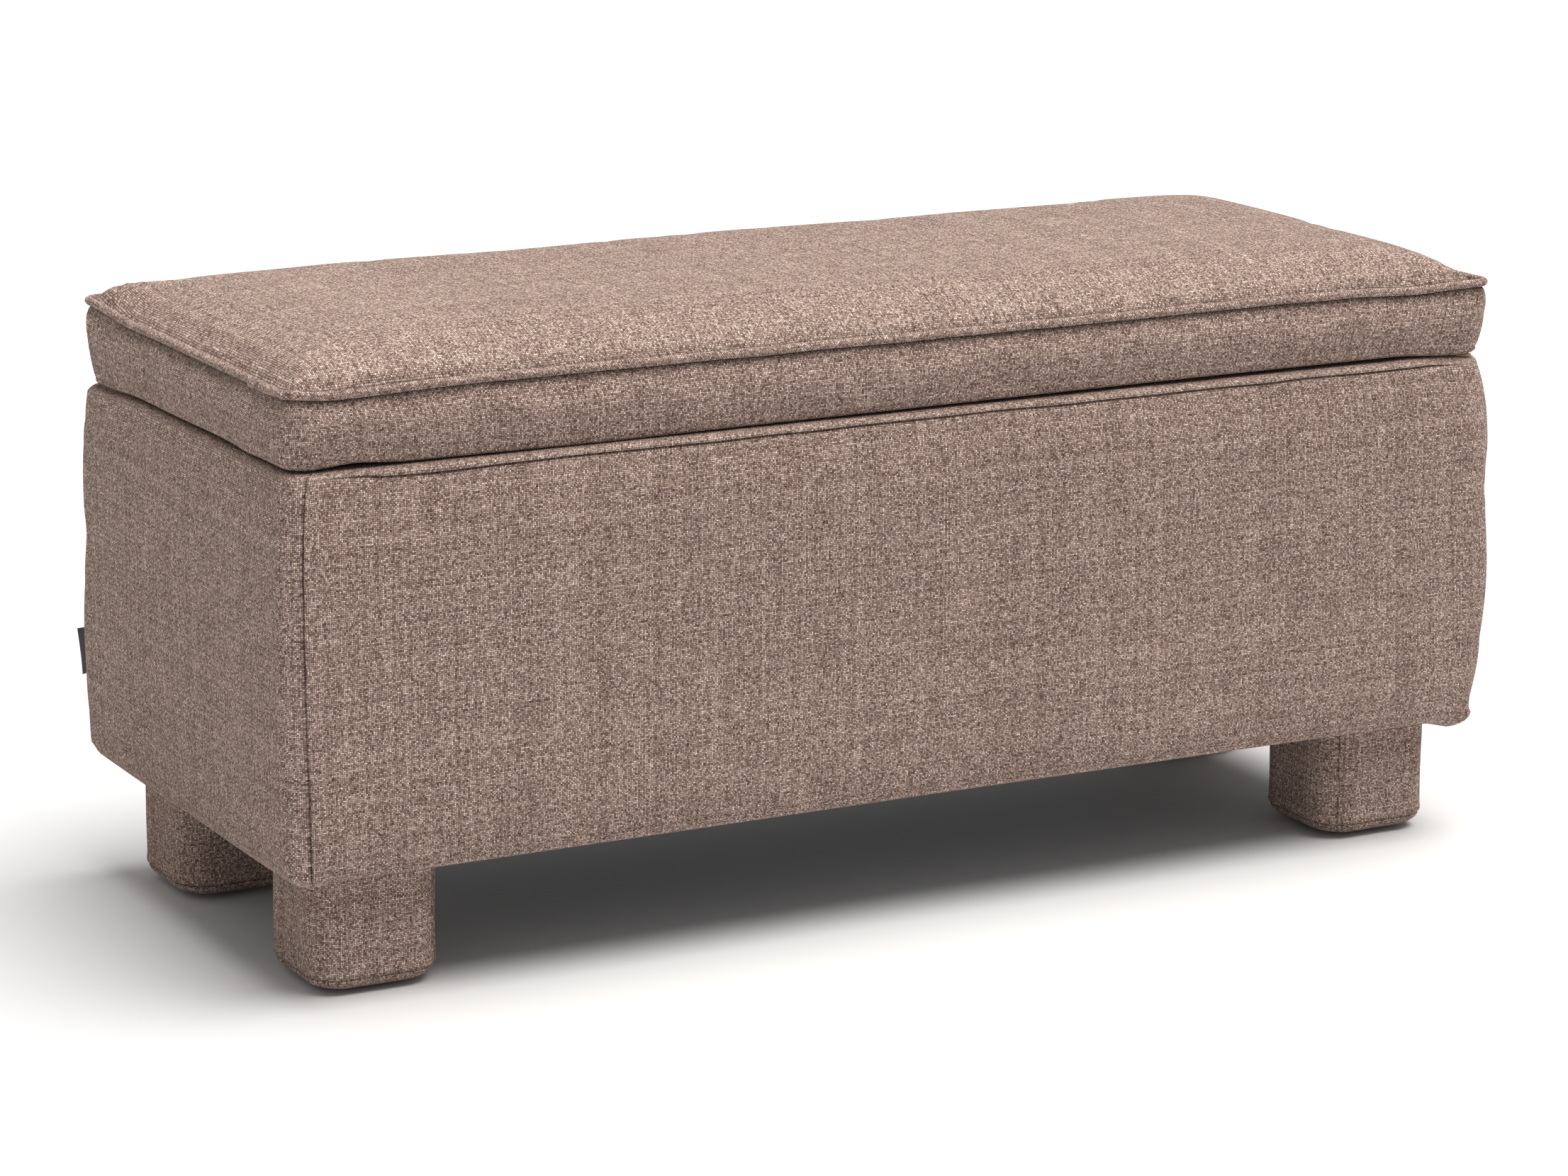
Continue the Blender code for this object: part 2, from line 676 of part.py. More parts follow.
def stay_bracket(side, sign, x, pivot):
    """An angle bracket screwed under the lid, and the rivet that the arm turns on."""
    inner = x - sign * (STAY_THICK / 2 + STAY_PLAY)
    tab_in = inner - sign * BRACKET_STEEL
    tab = sorted((inner, tab_in))
    edge = sorted((inner, inner - sign * PLATE_WIDTH))
    plate_top = LID_BOTTOM - GAP * 2 - DUST_CLOTH
    tab_mesh = box_mesh("stay_bracket", (tab[0], pivot.y - TAB_HALF, pivot.z - TAB_DROP),
                        (tab[1], pivot.y + TAB_HALF, plate_top))
    plate_mesh = box_mesh("stay_plate", (edge[0], pivot.y - PLATE_HALF, plate_top - BRACKET_STEEL),
                          (edge[1], pivot.y + PLATE_HALF, plate_top))
    bracket = add(f"stay_bracket_{side}", tab_mesh, BLACK_STEEL)
    boolean(bracket, cutter(f"stay_plate_{side}", plate_mesh), "UNION")
    pin_hole = rod_across("bracket_hole", x - 0.02, x + 0.02, pivot, RIVET_HOLE)
    boolean(bracket, cutter(f"bracket_hole_{side}", pin_hole))

    outer = x + sign * STAY_THICK / 2
    shank = rod_across("stay_rivet", tab_in - sign * 0.0008, outer + sign * 0.0008, pivot, RIVET_RADIUS)
    rivet = add(f"stay_rivet_{side}", shank, STEEL)
    head = rod_across("rivet_head", tab_in - sign * 0.0004, tab_in - sign * 0.0018, pivot, RIVET_HEAD)
    tail = rod_across("rivet_tail", outer + sign * 0.0004, outer + sign * 0.0018, pivot, RIVET_HEAD)
    boolean(rivet, cutter(f"rivet_head_{side}", head), "UNION")
    boolean(rivet, cutter(f"rivet_tail_{side}", tail), "UNION")


def stay_stud(side, sign, x, stud):
    """The shouldered stud on the end wall that the slotted arm slides on."""
    wall = sign * (CARCASS_HALF.x - BOARD - 0.0025)
    inner, outer = x - sign * STAY_THICK / 2, x + sign * STAY_THICK / 2
    shank = rod_across("stay_stud", wall, inner - sign * 0.0012, stud, STUD_RADIUS)
    post = add(f"stay_stud_{side}", shank, STEEL)
    cap = rod_across("stud_cap", inner - sign * STAY_PLAY, inner - sign * 0.0022, stud, STUD_CAP)
    foot = rod_across("stud_foot", wall, outer + sign * 0.0010, stud, STUD_FOOT)
    boolean(post, cutter(f"stud_cap_{side}", cap), "UNION")
    boolean(post, cutter(f"stud_foot_{side}", foot), "UNION")


def build():
    floor = carcass()
    chest_foam()
    chest_cover()
    storage_lining()
    side_tag()
    tools = feet()
    drill_floor(floor, tools)
    dust_cover(tools)
    lid()
    lid_bumpers()
    hinges()
    stays()


build()
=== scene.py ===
"""The looks of the upholstered storage bench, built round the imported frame.

Metres, +Z up, the front faces -Y.  Every padded cover is a skin worked out from the frame's boxes:
rows of points that go round the bench, joined by quads, with the cloth's own flat lengths as its UV map.
"""
import json
import math

import bmesh
import bpy
import numpy as np
from mathutils import Matrix, Vector, noise


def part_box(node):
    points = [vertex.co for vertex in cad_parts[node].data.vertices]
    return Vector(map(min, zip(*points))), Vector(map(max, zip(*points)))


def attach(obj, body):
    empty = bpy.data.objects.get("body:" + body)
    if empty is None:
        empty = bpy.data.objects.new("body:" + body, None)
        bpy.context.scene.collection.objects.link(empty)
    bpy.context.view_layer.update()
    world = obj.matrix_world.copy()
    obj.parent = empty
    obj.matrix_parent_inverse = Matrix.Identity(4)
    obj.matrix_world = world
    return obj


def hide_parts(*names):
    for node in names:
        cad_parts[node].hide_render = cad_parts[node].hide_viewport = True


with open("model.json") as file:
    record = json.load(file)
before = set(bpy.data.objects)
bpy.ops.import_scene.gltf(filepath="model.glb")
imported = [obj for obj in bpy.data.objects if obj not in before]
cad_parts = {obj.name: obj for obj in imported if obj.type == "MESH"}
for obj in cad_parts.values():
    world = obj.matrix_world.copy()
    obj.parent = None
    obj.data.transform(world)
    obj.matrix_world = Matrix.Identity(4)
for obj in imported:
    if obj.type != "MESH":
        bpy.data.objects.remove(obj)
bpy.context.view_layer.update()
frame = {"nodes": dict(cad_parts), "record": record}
NODES = frame["nodes"]
QUARTER = math.pi / 2


# ---- camera, light and floor ----
CAMERA_AZIMUTH = math.radians(-28.05)
CAMERA_ELEVATION = math.radians(13.63)
CAMERA_ROLL = math.radians(0.23)
CAMERA_DISTANCE = 3.7098
CAMERA_TARGET = Vector((-0.0110, 0.0, 0.2082))
CAMERA_LENS = 112.28
CAMERA_SENSOR = 36.0
SKY_STRENGTH = 0.44
SUN_TOWARDS = Vector((0.22, -0.17, 1.0))
SUN_WIDTH = math.radians(50)
SUN_STRENGTH = 4.4
SUN_COLOUR = (1.0, 0.985, 0.965)
FLOOR_HALF = 6.0


def show(name, data):
    """Makes an object of a mesh, light or camera and puts it in the scene."""
    made = bpy.data.objects.new(name, data)
    bpy.context.scene.collection.objects.link(made)
    return made


def make_camera():
    back = Vector((
        math.sin(CAMERA_AZIMUTH) * math.cos(CAMERA_ELEVATION),
        -math.cos(CAMERA_AZIMUTH) * math.cos(CAMERA_ELEVATION),
        math.sin(CAMERA_ELEVATION),
    ))
    data = bpy.data.cameras.new("camera")
    data.lens = CAMERA_LENS
    data.sensor_width = CAMERA_SENSOR
    camera = show("camera", data)
    level = back.to_track_quat("Z", "Y")
    roll = Matrix.Rotation(CAMERA_ROLL, 4, "Z").to_quaternion()
    camera.rotation_mode = "QUATERNION"
    camera.rotation_quaternion = level @ roll
    camera.location = CAMERA_TARGET + back * CAMERA_DISTANCE
    bpy.context.scene.camera = camera


def soft_sun():
    """A wide, far light, as even as a large softbox."""
    data = bpy.data.lights.new("overhead", "SUN")
    data.angle = SUN_WIDTH
    data.energy = SUN_STRENGTH
    data.color = SUN_COLOUR
    light = show("overhead", data)
    light.location = SUN_TOWARDS * 3.0
    light.rotation_mode = "QUATERNION"
    light.rotation_quaternion = SUN_TOWARDS.to_track_quat("Z", "Y")


def make_studio():
    world = bpy.data.worlds.new("studio")
    bpy.context.scene.world = world
    world.use_nodes = True
    sky = world.node_tree.nodes["Background"]
    sky.inputs["Color"].default_value = (1.0, 1.0, 1.0, 1.0)
    sky.inputs["Strength"].default_value = SKY_STRENGTH
    soft_sun()
    shape = bmesh.new()
    bmesh.ops.create_grid(shape, x_segments=1, y_segments=1, size=FLOOR_HALF)
    mesh = bpy.data.meshes.new("floor")
    shape.to_mesh(mesh)
    shape.free()
    mesh.materials.append(floor_material())
    floor = show("floor", mesh)
    bpy.context.scene.view_settings.view_transform = "Standard"


# ---- material building ----
class Nodes:
    """Short calls for building one material's node tree."""

    def __init__(self, name, roughness=0.9, metallic=0.0, **shader_values):
        self.material = bpy.data.materials.new(name)
        self.material.use_nodes = True
        self.tree = self.material.node_tree
        self.shader = self.tree.nodes["Principled BSDF"]
        self.shader.inputs["Roughness"].default_value = roughness
        self.shader.inputs["Metallic"].default_value = metallic
        for socket, value in shader_values.items():
            self.shader.inputs[socket.replace("_", " ")].default_value = value

    def add(self, kind, **settings):
        node = self.tree.nodes.new(kind)
        for key, value in settings.items():
            setattr(node, key, value)
        return node

    def join(self, source, target):
        self.tree.links.new(source, target)

    def feed(self, socket, value):
        if isinstance(value, bpy.types.NodeSocket):
            self.join(value, socket)
        else:
            socket.default_value = value

    def math(self, operation, *values, clamp=False):
        node = self.add("ShaderNodeMath", operation=operation, use_clamp=clamp)
        for socket, value in zip(node.inputs, values):
            self.feed(socket, value)
        return node.outputs[0]

    def combine(self, x, y, z=0.0):
        node = self.add("ShaderNodeCombineXYZ")
        for socket, value in zip(node.inputs, (x, y, z)):
            self.feed(socket, value)
        return node.outputs[0]

    def separate(self, vector):
        node = self.add("ShaderNodeSeparateXYZ")
        self.join(vector, node.inputs[0])
        return node.outputs

    def noise(self, vector, scale, detail=2.0, rough=0.5, output="Fac"):
        node = self.add("ShaderNodeTexNoise")
        self.join(vector, node.inputs["Vector"])
        node.inputs["Scale"].default_value = scale
        node.inputs["Detail"].default_value = detail
        node.inputs["Roughness"].default_value = rough
        return node.outputs[output]

    def cells(self, vector, scale, randomness=1.0):
        """Distance from the nearest of many scattered spots."""
        node = self.add("ShaderNodeTexVoronoi", feature="F1")
        self.join(vector, node.inputs["Vector"])
        node.inputs["Scale"].default_value = scale
        node.inputs["Randomness"].default_value = randomness
        return node.outputs["Distance"]

    def stretch(self, vector, scales):
        node = self.add("ShaderNodeVectorMath", operation="MULTIPLY")
        self.join(vector, node.inputs[0])
        node.inputs[1].default_value = scales
        return node.outputs[0]

    def white(self, vector):
        node = self.add("ShaderNodeTexWhiteNoise", noise_dimensions="3D")
        self.join(vector, node.inputs["Vector"])
        return node.outputs["Value"]

    def span(self, value, low, high, to_low=0.0, to_high=1.0):
        node = self.add("ShaderNodeMapRange")
        for socket, item in zip(node.inputs, (value, low, high, to_low, to_high)):
            self.feed(socket, item)
        return node.outputs[0]

    def ramp(self, value, stops):
        node = self.add("ShaderNodeValToRGB")
        self.join(value, node.inputs[0])
        elements = node.color_ramp.elements
        while len(elements) < len(stops):
            elements.new(0.5)
        for element, (place, colour) in zip(elements, stops):
            element.position = place
            element.color = (*colour, 1.0)
        return node.outputs[0]

    def mix(self, share, a, b, blend="MIX"):
        node = self.add("ShaderNodeMix", data_type="RGBA", blend_type=blend)
        for socket, value in ((node.inputs[0], share), (node.inputs[6], a), (node.inputs[7], b)):
            if isinstance(value, tuple):
                value = (*value, 1.0)
            self.feed(socket, value)
        return node.outputs[2]

    def choose(self, share, a, b):
        """A number between a and b, by share."""
        node = self.add("ShaderNodeMix", data_type="FLOAT")
        for socket, value in ((node.inputs[0], share), (node.inputs[2], a), (node.inputs[3], b)):
            self.feed(socket, value)
        return node.outputs[0]

    def bump(self, height, distance, strength=1.0):
        node = self.add("ShaderNodeBump")
        self.join(height, node.inputs["Height"])
        node.inputs["Distance"].default_value = distance
        node.inputs["Strength"].default_value = strength
        self.join(node.outputs[0], self.shader.inputs["Normal"])

    def colour(self, value):
        self.join(value, self.shader.inputs["Base Color"])

    def roughness(self, value):
        self.join(value, self.shader.inputs["Roughness"])

    def place(self):
        """Where the point lies in the piece's own coordinates, in metres."""
        return self.add("ShaderNodeTexCoord").outputs["Object"]

    def cloth_place(self):
        """Where the point lies on the flat cloth, in metres."""
        return self.add("ShaderNodeUVMap", uv_map=CLOTH_MAP).outputs[0]


CLOTH_MAP = "cloth"
# point attribute that holds each point's painted shade
CREASE_SHADE_MAP = "crease_shade"
YARN = 0.00132              # from one yarn to the next
SLUBS = 0.80                # thick places for each yarn crossed
FLECK = 0.16                # how much the tone differs from crossing to crossing
MELANGE = (
    (0.00, (0.060, 0.038, 0.030)),
    (0.28, (0.165, 0.107, 0.086)),
    (0.52, (0.310, 0.217, 0.180)),
    (0.74, (0.480, 0.360, 0.305)),
    (1.00, (0.760, 0.610, 0.530)),
)


def woven_cloth(name, turn=0.0):
    """Plain weave of slubby melange yarn.  Warp and weft yarns each get a tone that drifts along them."""
    n = Nodes(name, roughness=0.92, Sheen_Weight=0.07, Sheen_Roughness=0.5, Specular_IOR_Level=0.15,
              Sheen_Tint=(0.92, 0.80, 0.74, 1.0))
    flat = n.cloth_place()
    turned = n.add("ShaderNodeVectorRotate", rotation_type="Z_AXIS")
    n.join(flat, turned.inputs["Vector"])
    turned.inputs["Angle"].default_value = turn
    yarns = n.stretch(turned.outputs[0], (1.0 / YARN,) * 3)
    x, y, _ = n.separate(yarns)
    drift_x, drift_y, _ = n.separate(n.noise(yarns, 0.06, output="Color"))
    x = n.math("ADD", x, n.math("MULTIPLY", drift_x, 1.2))
    y = n.math("ADD", y, n.math("MULTIPLY", drift_y, 1.2))
    column, row = n.math("FLOOR", x), n.math("FLOOR", y)
    across, along = n.math("FRACT", x), n.math("FRACT", y)
    over = n.math("MODULO", n.math("ABSOLUTE", n.math("ADD", column, row)), 2.0)

    def yarn_tone(spot, number, seed, low, high):
        """Each yarn has its own shade, and slubs along it."""
        slub = n.span(n.noise(spot, 1.0, 2.0, 0.65), 0.2, 0.8, 0.06, 0.96)
        return n.math("ADD", slub, n.span(n.white(n.combine(number, seed)), 0.0, 1.0, low, high))

    warp_id, weft_id = n.math("MULTIPLY", column, 17.31), n.math("MULTIPLY", row, 23.17)
    warp_spot = n.combine(warp_id, n.math("MULTIPLY", y, SLUBS), 3.0)
    weft_spot = n.combine(n.math("MULTIPLY", x, SLUBS), weft_id, 9.0)
    warp_tone = yarn_tone(warp_spot, warp_id, 1.0, -0.07, 0.11)
    weft_tone = yarn_tone(weft_spot, weft_id, 2.0, -0.11, 0.07)
    tone = n.choose(over, warp_tone, weft_tone)
    fleck = n.white(n.combine(column, row, 5.0))
    tone = n.math("ADD", tone, n.span(fleck, 0.0, 1.0, -FLECK, FLECK))
    cloudy = n.noise(flat, 38.0, 3.0, 0.6)
    tone = n.math("ADD", tone, n.span(cloudy, 0.3, 0.7, -0.025, 0.025))
    tone = n.span(tone, 0.12, 0.90)

    def rounded(share):
        return n.math("POWER", n.math("SINE", n.math("MULTIPLY", share, math.pi)), 0.6)

    def crossing(over_it, along_it):
        """A yarn is round across, and dips at both ends of its float."""
        return n.math("MULTIPLY", over_it, n.math("ADD", n.math("MULTIPLY", along_it, 0.55), 0.45))

    round_x, round_y = rounded(across), rounded(along)
    lift = n.choose(over, crossing(round_x, round_y), crossing(round_y, round_x))
    fibre = n.noise(yarns, 2.6, 3.0, 0.75)
    # Painted shade and light: the colour is darker in the pits between yarns and lighter on their tops, by
    # how high each yarn lies.
    shade = n.span(lift, 0.05, 0.80, 0.03, 1.27)
    shade = n.math("MULTIPLY", shade, n.span(fibre, 0.25, 0.75, 0.68, 1.32))
    # Painted shade: the colour falls to 0.22 of itself at points marked along seams and folds.
    crease_shade = n.add("ShaderNodeAttribute", attribute_name=CREASE_SHADE_MAP).outputs["Fac"]
    shade = n.math("MULTIPLY", shade, n.span(crease_shade, 0.0, 1.0, 1.0, 0.22))
    grey = n.combine(shade, shade, shade)
    n.colour(n.mix(1.0, n.ramp(tone, MELANGE), grey, "MULTIPLY"))
    n.roughness(n.span(fibre, 0.2, 0.8, 0.84, 0.98))
    n.bump(n.math("ADD", lift, n.math("MULTIPLY", fibre, 0.35)), 0.00042, 0.85)
    return n.material


def floor_material():
    n = Nodes("pale_floor", roughness=0.75)
    cloud = n.noise(n.place(), 2.0, 2.0)
    n.colour(n.ramp(cloud, ((0.3, (0.66, 0.66, 0.66)), (0.7, (0.68, 0.68, 0.68)))))
    return n.material


def felt_cloth(name, colour):
    """Thin non-woven cloth with the small dents it is bonded by."""
    n = Nodes(name, roughness=0.88, Sheen_Weight=0.15)
    flat = n.cloth_place()
    fibre = n.noise(flat, 900.0, 4.0, 0.7)
    cloud = n.noise(flat, 25.0, 3.0)
    tone = n.math("ADD", n.math("MULTIPLY", fibre, 0.7), n.math("MULTIPLY", cloud, 0.5))
    dark = tuple(c * 0.6 for c in colour)
    light = tuple(min(1.0, c * 1.7 + 0.01) for c in colour)
    n.colour(n.ramp(tone, ((0.35, dark), (0.85, light))))
    pit = n.span(n.cells(flat, 420.0, 0.12), 0.15, 0.45)
    n.bump(n.math("ADD", n.math("MULTIPLY", fibre, 0.5), pit), 0.00025, 0.8)
    n.roughness(n.span(fibre, 0.2, 0.8, 0.78, 0.95))
    return n.material


def metal(name, colour, roughness, grime):
    n = Nodes(name, roughness=roughness, metallic=1.0)
    spot = n.place()
    cloud = n.noise(spot, 260.0, 4.0, 0.6)
    line = n.noise(n.stretch(spot, (60.0, 1800.0, 1800.0)), 1.0)
    dark = tuple(c * grime for c in colour)
    n.colour(n.mix(n.span(cloud, 0.35, 0.7), dark, colour))
    worn = n.span(cloud, 0.3, 0.7, roughness - 0.07, roughness + 0.1)
    n.roughness(n.math("ADD", worn, n.math("MULTIPLY", line, 0.08)))
    n.bump(line, 0.00002, 0.4)
    return n.material


def board_material(name, light, dark, along, across):
    """Raw board: chips or grain, longer along X."""
    n = Nodes(name, roughness=0.75)
    chips = n.noise(n.stretch(n.place(), (along, across, across)), 1.0, 5.0, 0.7)
    n.colour(n.ramp(chips, ((0.3, dark), (0.7, light))))
    n.bump(chips, 0.0002, 0.5)
    n.roughness(n.span(chips, 0.2, 0.8, 0.65, 0.85))
    return n.material


def foam_material():
    n = Nodes("foam_cells", roughness=0.95, Subsurface_Weight=0.1)
    cells = n.cells(n.place(), 900.0)
    n.colour(n.ramp(cells, ((0.1, (0.62, 0.56, 0.40)), (0.6, (0.85, 0.80, 0.66)))))
    n.bump(cells, 0.0004, 0.8)
    return n.material


def rubber_material(name, colour, roughness):
    n = Nodes(name, roughness=roughness)
    speck = n.noise(n.place(), 700.0, 3.0)
    n.colour(n.mix(n.span(speck, 0.3, 0.7), tuple(c * 0.8 for c in colour), colour))
    n.bump(speck, 0.0001, 0.4)
    n.roughness(n.span(speck, 0.2, 0.8, roughness - 0.1, roughness + 0.05))
    return n.material


RIB = 0.0006                # from one rib of the ribbon to the next


def ribbon_material():
    """Black satin ribbon: fine ribs across it."""
    n = Nodes("tag_ribbon", roughness=0.55, Sheen_Weight=0.3)
    up = n.separate(n.cloth_place())[1]
    rib = n.math("SINE", n.math("MULTIPLY", up, 2.0 * math.pi / RIB))
    thread = n.noise(n.cloth_place(), 1500.0, 3.0)
    # Painted shade: the colour is a little darker between the ribs and lighter on their tops.
    n.colour(n.ramp(n.math("ADD", n.math("MULTIPLY", rib, 0.15), thread),
                    ((0.3, (0.012, 0.012, 0.014)), (0.8, (0.060, 0.060, 0.066)))))
    n.bump(n.math("ADD", rib, thread), 0.0001, 0.6)
    n.roughness(n.span(thread, 0.2, 0.8, 0.45, 0.7))
    return n.material


make_camera()
TAUPE = woven_cloth("taupe_weave")
BIAS = woven_cloth("taupe_bias", math.radians(45))
BLACK_CLOTH = felt_cloth("black_nonwoven", (0.020, 0.020, 0.021))
DUST_CLOTH = felt_cloth("dust_nonwoven", (0.016, 0.016, 0.017))
ZINC = metal("zinc_plate", (0.66, 0.66, 0.64), 0.34, 0.72)
BLACK_STEEL = metal("black_ecoat", (0.045, 0.045, 0.048), 0.42, 0.6)
CHIPBOARD = board_material("chipboard", (0.60, 0.45, 0.28), (0.32, 0.21, 0.11), 180.0, 420.0)
PINE = board_material("pine_block", (0.70, 0.53, 0.32), (0.50, 0.34, 0.17), 300.0, 90.0)
FOAM = foam_material()
FELT = rubber_material("felt_glide", (0.07, 0.065, 0.06), 0.9)
CLEAR_RUBBER = rubber_material("soft_rubber", (0.60, 0.58, 0.53), 0.45)
RIBBON = ribbon_material()
NODE_MATERIALS = {
    "zinc_steel": ZINC, "black_steel": BLACK_STEEL, "particle_board": CHIPBOARD, "pine": PINE,
    "foam": FOAM, "felt_glide": FELT, "clear_rubber": CLEAR_RUBBER, "woven_tag": RIBBON,
    "taupe_fabric": TAUPE, "piping_fabric": BIAS, "black_lining": BLACK_CLOTH,
}


def finish_frame_nodes():
    """Gives each CAD node the material of its slot."""
    for part in frame["record"]["subparts"]:
        mesh = NODES[part["node"]].data
        mesh.materials.clear()
        mesh.materials.append(NODE_MATERIALS[part["material_slot"]])


# ---- skins ----
class Skin:
    """Points and quads of one cloth surface, with the flat cloth's coordinates for each quad corner."""

    def __init__(self):
        self.points = []
        self.faces = []
        self.flat = []
        # Painted shade for each marked point.
        self.painted_shade = {}

    def row(self, points):
        first = len(self.points)
        self.points.extend(np.asarray(points, float).tolist())
        return np.arange(first, first + len(points))

    def crease_shade(self, ids, depth):
        """Marks points whose colour gets painted shade, where folds and seams lie: 0 none, 1 darkest."""
        for number, value in zip(np.ravel(ids), np.broadcast_to(depth, np.size(ids))):
            self.painted_shade[int(number)] = float(value)

    def cells(self, ids, flat, turned=False):
        """Quads over a table of point numbers.  Rows that go up while columns go anticlockwise face out."""
        for r in range(ids.shape[0] - 1):
            for c in range(ids.shape[1] - 1):
                spots = ((r, c), (r, c + 1), (r + 1, c + 1), (r + 1, c))
                if turned:
                    spots = spots[::-1]
                self.faces.append([int(ids[s]) for s in spots])
                self.flat.extend(tuple(flat[s]) for s in spots)

    def fan(self, ids, centre, flat, flat_centre):
        """Closes a loop of points with triangles to a centre that is seen from below."""
        middle = self.row([centre])[0]
        for i in range(len(ids)):
            j = (i + 1) % len(ids)
            self.faces.append([int(ids[j]), int(ids[i]), int(middle)])
            self.flat.extend((tuple(flat[j]), tuple(flat[i]), flat_centre))

    def piece(self, name, material):
        mesh = bpy.data.meshes.new(name)
        mesh.from_pydata(self.points, [], self.faces)
        layer = mesh.uv_layers.new(name=CLOTH_MAP)
        layer.data.foreach_set("uv", np.array(self.flat, np.float32).ravel())
        # Each point's painted shade, 0 to 1, read by the cloth's material.
        painted_shade = mesh.attributes.new(CREASE_SHADE_MAP, "FLOAT", "POINT")
        painted_shade.data.foreach_set("value", [self.painted_shade.get(i, 0.0) for i in range(len(self.points))])
        mesh.materials.append(material)
        mesh.shade_smooth()
        return show(name, mesh)


SEAM_STEPS = (-0.0026, -0.0016, -0.0008, 0.0, 0.0008, 0.0016, 0.0026)   # stations beside a seam
SEAM_ROOM = 0.0030           # and the other stations are left out this near it


class Outline:
    """Stations round a rounded rectangle, anticlockwise from above, starting at the front left.

    A station is a share of the way along the straight stretches, -1 to 1 in X and Y, and the
    direction that it faces.  So one set of stations serves every height, inset and corner radius.
    corner is one radius, or one each for front left, front right, back right and back left.
    """

    def __init__(self, half, corner, step, corner_steps, seams=()):
        self.half = Vector(half)
        corners = corner if isinstance(corner, tuple) else (corner,) * 4
        widest = max(corners)
        reach = (half[0] - widest, half[1] - widest)
        share_x, share_y, facing = [], [], []
        signs = ((-1, -1), (1, -1), (1, 1), (-1, 1))
        for side in range(4):
            start, end = signs[side], signs[(side + 1) % 4]
            away = -QUARTER + QUARTER * side
            length = 2 * reach[side % 2]
            count = max(1, round(length / step))
            for distance in np.linspace(0.0, length, count + 1)[:-1]:
                share = distance / length
                share_x.append(start[0] + (end[0] - start[0]) * share)
                share_y.append(start[1] + (end[1] - start[1]) * share)
                facing.append(away)
            turns = [QUARTER * i / corner_steps for i in range(corner_steps)]
            for seam in seams:
                turn = (seam - away) % (2 * math.pi)
                if 0 < turn < QUARTER:
                    turns = [t for t in turns if abs(t - turn) > SEAM_ROOM / widest or t == 0]
                    turns += [turn + o / widest for o in SEAM_STEPS if 0 < turn + o / widest < QUARTER]
            for turn in sorted(turns):
                share_x.append(end[0])
                share_y.append(end[1])
                facing.append(away + turn)
        self.share_x, self.share_y = np.array(share_x), np.array(share_y)
        self.facing = np.array(facing)
        self.out_x, self.out_y = np.cos(self.facing), np.sin(self.facing)
        right, back = (self.share_x + 1) / 2, (self.share_y + 1) / 2
        front_left, front_right, back_right, back_left = corners
        front = front_left * (1 - right) + front_right * right
        rear = back_left * (1 - right) + back_right * right
        self.corner = front * (1 - back) + rear * back
        nominal = self.at(0.0, 0.0)
        steps = np.linalg.norm(np.diff(np.vstack([nominal, nominal[:1]]), axis=0), axis=1)
        self.along = np.concatenate([[0.0], np.cumsum(steps)])
        self.x, self.y = nominal[:, 0], nominal[:, 1]

    def nearest(self, facing):
        """Number of the station that faces nearest to a direction."""
        return int(np.argmin(np.abs((self.facing - facing + math.pi) % (2 * math.pi) - math.pi)))

    def at(self, tuck, height, corner=None, half=None):
        """Points at an inset and a height; both may be one number or one for each station."""
        corner = self.corner if corner is None else corner
        half = half or self.half
        tuck = np.broadcast_to(tuck, self.share_x.shape)
        x = self.share_x * (half.x - tuck - corner) + corner * self.out_x
        y = self.share_y * (half.y - tuck - corner) + corner * self.out_y
        return np.stack([x, y, np.broadcast_to(height, x.shape)], axis=1)


def closed(ids):
    """A table of point numbers with its first column repeated at the end."""
    return np.concatenate([ids, ids[:, :1]], axis=1)


def around(outline, places):
    """How far round the outline each station lies from the nearest of some places."""
    total = outline.along[-1]
    along = outline.along[:-1]
    return np.min([np.abs((along - place + total / 2) % total - total / 2) for place in places], axis=0)


def wave(x, y, z, size, seed):
    """Smooth, repeatable unevenness between about -1 and 1."""
    x, y, z = np.broadcast_arrays(x, y, z)
    offset = Vector((seed * 3.7, seed * 1.9, seed * 5.3))
    heights = [noise.noise(Vector(p) / size + offset) for p in zip(x.ravel(), y.ravel(), z.ravel())]
    return np.reshape(heights, x.shape)


def flat_table(along, up):
    """Where a table of points lies on the flat cloth: along for its columns, up for its rows."""
    return np.stack(np.broadcast_arrays(along[None, :], up[:, None]), axis=2)


def bell(x, middle, width):
    return np.exp(-((x - middle) / width) ** 2)


def smooth_step(x, low, high):
    t = np.clip((x - low) / (high - low), 0.0, 1.0)
    return t * t * (3 - 2 * t)


def row_lengths(rows):
    """How far up the flat cloth each row of points lies, averaged over the stations."""
    rows = np.array(rows)
    steps = np.linalg.norm(np.diff(rows, axis=0), axis=2).mean(axis=1)
    return np.concatenate([[0.0], np.cumsum(steps)])


# ---- chest ----
CHEST_LOW, CHEST_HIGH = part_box("chest_cover")
CHEST_HALF = Vector((CHEST_HIGH.x, CHEST_HIGH.y))
RIM = CHEST_HIGH.z
CHEST_CORNERS = (0.016, 0.026, 0.022, 0.025)     # front left, front right, back right, back left
CHEST_BASE_ROUND = 0.012
CHEST_RIM_ROUND = 0.0060
CHEST_SEAMS = [math.radians(a) for a in (-104, -5, 62, 118)]      # which way each corner seam faces
WIDEST = 0.300
BOARD_GAP = 0.0016           # from the boards' inner faces to the cloth turned in over them
INNER_HALF = Vector((-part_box("left_end_board")[1].x - BOARD_GAP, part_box("back_board")[0].y - BOARD_GAP))
TURN_IN = 0.026
SIDE_ROWS = 46
SIDE_TOP = 0.0125            # the plain rows of the sides end this far below the rim
HELD_BASE_ROWS = 6           # rows stapled under the floor board
HELD_TOP_ROWS = 18           # rows from the rim's seam to the turned-in edge
